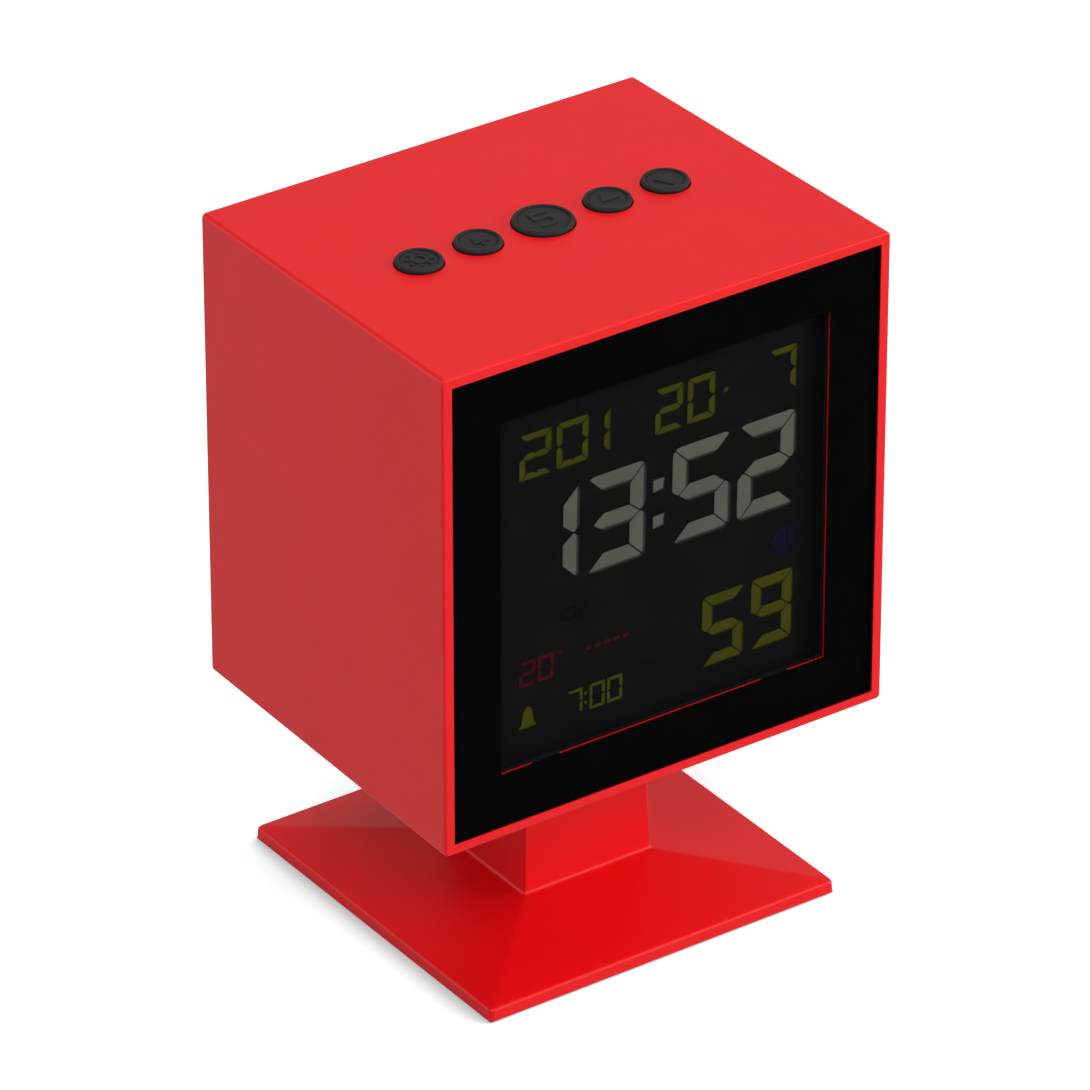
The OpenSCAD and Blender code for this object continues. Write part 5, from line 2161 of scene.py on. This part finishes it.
@dataclass(frozen=True)
class Floor:
    """The white floor, which keeps the contact shadow.

    Attributes:
        size: Length of a side in metres.
        tone: Colour that lights the clock.
        gleam: Glow towards gloss and glass.
        seen_tone: Colour towards the camera.
        seen_lift: Glow towards the camera near the clock.
        fade: Distances in metres over which that glow grows to white.
        reach: Reach of the contact shadow in millimetres.
        lean: What is added to the floor's normal, so that the shadow lies on the left.
        shade: Open shares that the shadow fades between.
        dim: Brightness that is left in the shadow.
        rough: Roughness of its surface.
        samples: Rays for each test of the shadow.
    """

    size: float = 12.0
    tone: Colour = (0.46, 0.5, 0.5)
    gleam: float = 0.45
    seen_tone: Colour = (0.74, 0.95, 0.95)
    seen_lift: float = 0.55
    fade: Span = (0.4, 1.2)
    reach: float = 10.0
    lean: Point = (1.12, -0.23, 0.0)
    shade: Span = (0.45, 0.78)
    dim: float = 0.56
    rough: float = 0.9
    samples: int = 8

    def build(self) -> None:
        """Adds the floor and its material."""
        Bench.clear()
        bpy.ops.mesh.primitive_plane_add(size=self.size)
        floor = Bench.settle("floor")
        sheet = Sheet("white_floor")
        sheet.put(Specular_IOR_Level=0.0, Roughness=self.rough)
        camera = sheet.add("ShaderNodeLightPath").outputs["Is Camera Ray"]
        open_share = self.open_share(sheet)
        colour = sheet.tint(camera, self.tone, self.seen_tone)
        sheet.link(sheet.dimmed(colour, open_share), sheet.shader, "Base Color")
        glow = sheet.add("ShaderNodeEmission")
        sheet.link(open_share, glow, "Color")
        sheet.link(self.glow(sheet, camera), glow, "Strength")
        both = sheet.add("ShaderNodeAddShader")
        sheet.link(sheet.shader.outputs[0], both, 0)
        sheet.link(glow.outputs[0], both, 1)
        sheet.link(both.outputs[0], sheet.tree.nodes["Material Output"], "Surface")
        floor.data.materials.append(sheet.material)

    def open_share(self, sheet: Sheet) -> bpy.types.NodeSocket:
        """Returns the brightness that the contact shadow leaves.

        Args:
            sheet: The floor's node tree.

        Returns:
            1 in the open, less beside the base.
        """
        near = sheet.add("ShaderNodeAmbientOcclusion", Distance=self.reach * MM)
        near.samples = self.samples
        leaned = sheet.vector("ADD", sheet.normal(), self.lean)
        sheet.link(sheet.vector("NORMALIZE", leaned.outputs[0]).outputs[0], near, "Normal")
        return sheet.spread(near.outputs["AO"], self.dim, 1.0, self.shade)

    def glow(self, sheet: Sheet, camera: bpy.types.NodeSocket) -> bpy.types.NodeSocket:
        """Returns the strength of the floor's glow.

        Args:
            sheet: The floor's node tree.
            camera: 1 for rays from the camera.

        Returns:
            The strength, which is 0 for rays that light the clock.
        """
        away = sheet.vector("LENGTH", sheet.place_of).outputs["Value"]
        lift = sheet.add("ShaderNodeMapRange", To_Min=self.gleam)
        sheet.link(sheet.spread(away, self.seen_lift, 1.0, self.fade), lift, "To Max")
        sheet.link(camera, lift, "Value")
        strength = sheet.add("ShaderNodeMath")
        strength.operation = "MULTIPLY"
        sheet.link(seen(sheet.tree), strength, 0)
        sheet.link(lift.outputs[0], strength, 1)
        return strength.outputs[0]


@dataclass(frozen=True)
class Lamp:
    """A square soft lamp that looks at the clock.

    Attributes:
        name: Name of the lamp.
        at: Its place in metres.
        power: Its power in watts.
        size: Length of a side in metres.
        aim: The place that it looks at.
    """

    name: str
    at: Point
    power: float
    size: float = 1.2
    aim: Point = (0.0, 0.0, 0.07)

    def build(self) -> None:
        """Adds the lamp to the scene."""
        data = bpy.data.lights.new(self.name, "AREA")
        data.shape = "SQUARE"
        data.size = self.size
        data.energy = self.power
        lamp = bpy.data.objects.new(self.name, data)
        lamp.location = self.at
        way = Vector(self.aim) - Vector(self.at)
        lamp.rotation_euler = way.to_track_quat("-Z", "Y").to_euler()
        bpy.context.scene.collection.objects.link(lamp)


@dataclass(frozen=True)
class Studio:
    """The white room, the soft lamps and the camera of the photograph."""

    camera_at: Point = (-0.786954, -1.124635, 0.864625)
    camera_turn: Point = (59.987, 0.0, -34.995)
    lens: float = 276.29
    sensor: float = 36.0
    view_end: float = 50.0
    sky: float = 0.0
    backdrop: float = 0.75
    lamps: tuple[Lamp, ...] = (
        Lamp("key_right", (1.5, -1.1, 0.5), 35.0),
        Lamp("fill_left", (-1.0, -1.2, 1.5), 26.0),
        Lamp("overhead", (0.2, 0.1, 1.8), 11.8),
        Lamp("rear_left", (-1.4, 1.4, 0.35), 9.0),
    )

    def build(self) -> None:
        """Sets up the view, the world, the floor, the lamps and the camera."""
        scene = bpy.context.scene
        scene.view_settings.view_transform = "Standard"
        self.world(scene)
        Floor().build()
        for lamp in self.lamps:
            lamp.build()
        self.camera(scene)

    def camera(self, scene: bpy.types.Scene) -> None:
        """Adds the camera that stands as the photograph's did.

        Args:
            scene: The scene that gets the camera.
        """
        data = bpy.data.cameras.new("photo_camera")
        data.lens = self.lens
        data.sensor_width = self.sensor
        data.clip_end = self.view_end
        camera = bpy.data.objects.new("photo_camera", data)
        camera.location = self.camera_at
        camera.rotation_euler = [math.radians(a) for a in self.camera_turn]
        scene.collection.objects.link(camera)
        scene.camera = camera

    def world(self, scene: bpy.types.Scene) -> None:
        """Makes a sky that is plain white where the camera sees it, and less in gloss.

        Args:
            scene: The scene that gets the sky.
        """
        world = bpy.data.worlds.new("white_room")
        world.use_nodes = True
        scene.world = world
        tree = world.node_tree
        strength = tree.nodes.new("ShaderNodeMapRange")
        strength.inputs["To Min"].default_value = self.sky
        bright = tree.nodes.new("ShaderNodeMapRange")
        bright.inputs["To Min"].default_value = self.backdrop
        camera = tree.nodes.new("ShaderNodeLightPath").outputs["Is Camera Ray"]
        tree.links.new(camera, bright.inputs["Value"])
        tree.links.new(bright.outputs[0], strength.inputs["To Max"])
        tree.links.new(seen(tree), strength.inputs["Value"])
        ground = tree.nodes["Background"]
        ground.inputs["Color"].default_value = (1, 1, 1, 1)
        tree.links.new(strength.outputs[0], ground.inputs["Strength"])


def dress_frame(frame: dict) -> None:
    """Paints the CAD nodes that stay in sight with the finish of their slot.

    Args:
        frame: What the frame's loader returned.
    """
    for part in frame["record"]["subparts"]:
        node = frame["nodes"][part["node"]]
        node.data.materials.clear()
        node.data.materials.append(SLOT_FINISHES[part["material_slot"]].material())


def main() -> None:
    """Builds the clock around its frame, in order."""
    logging.basicConfig(level=logging.INFO, format="%(name)s: %(message)s")
    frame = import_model()
    Studio().build()
    dress_frame(frame)
    case = Case()
    layout = RearLayout(case)
    buttons = [
        Button("setting_button", "button_setting", Body.SETTING, -27.85, 4.65, Glyph.SUN, case),
        Button("alarm_button", "button_alarm", Body.ALARM, -14.65, 4.65, Glyph.BELL, case),
        Button("snooze_button", "button_snooze", Body.SNOOZE, 0.0, 6.0, Glyph.NUMBER, case),
        Button("up_button", "button_up", Body.UP, 14.65, 4.65, Glyph.UP, case),
        Button("down_button", "button_down", Body.DOWN, 27.85, 4.65, Glyph.DOWN, case),
    ]
    case.build([(button.x, button.radius) for button in buttons])
    for button in buttons:
        button.build()
    Pedestal().build()
    FrontWindow(case).build()
    Display().build()
    RearCover(layout).build()
    BatteryDoor(layout).build()
    BatteryCells(layout).build()
    PowerSocket(layout.socket_z).build()


if __name__ == "__main__":
    main()
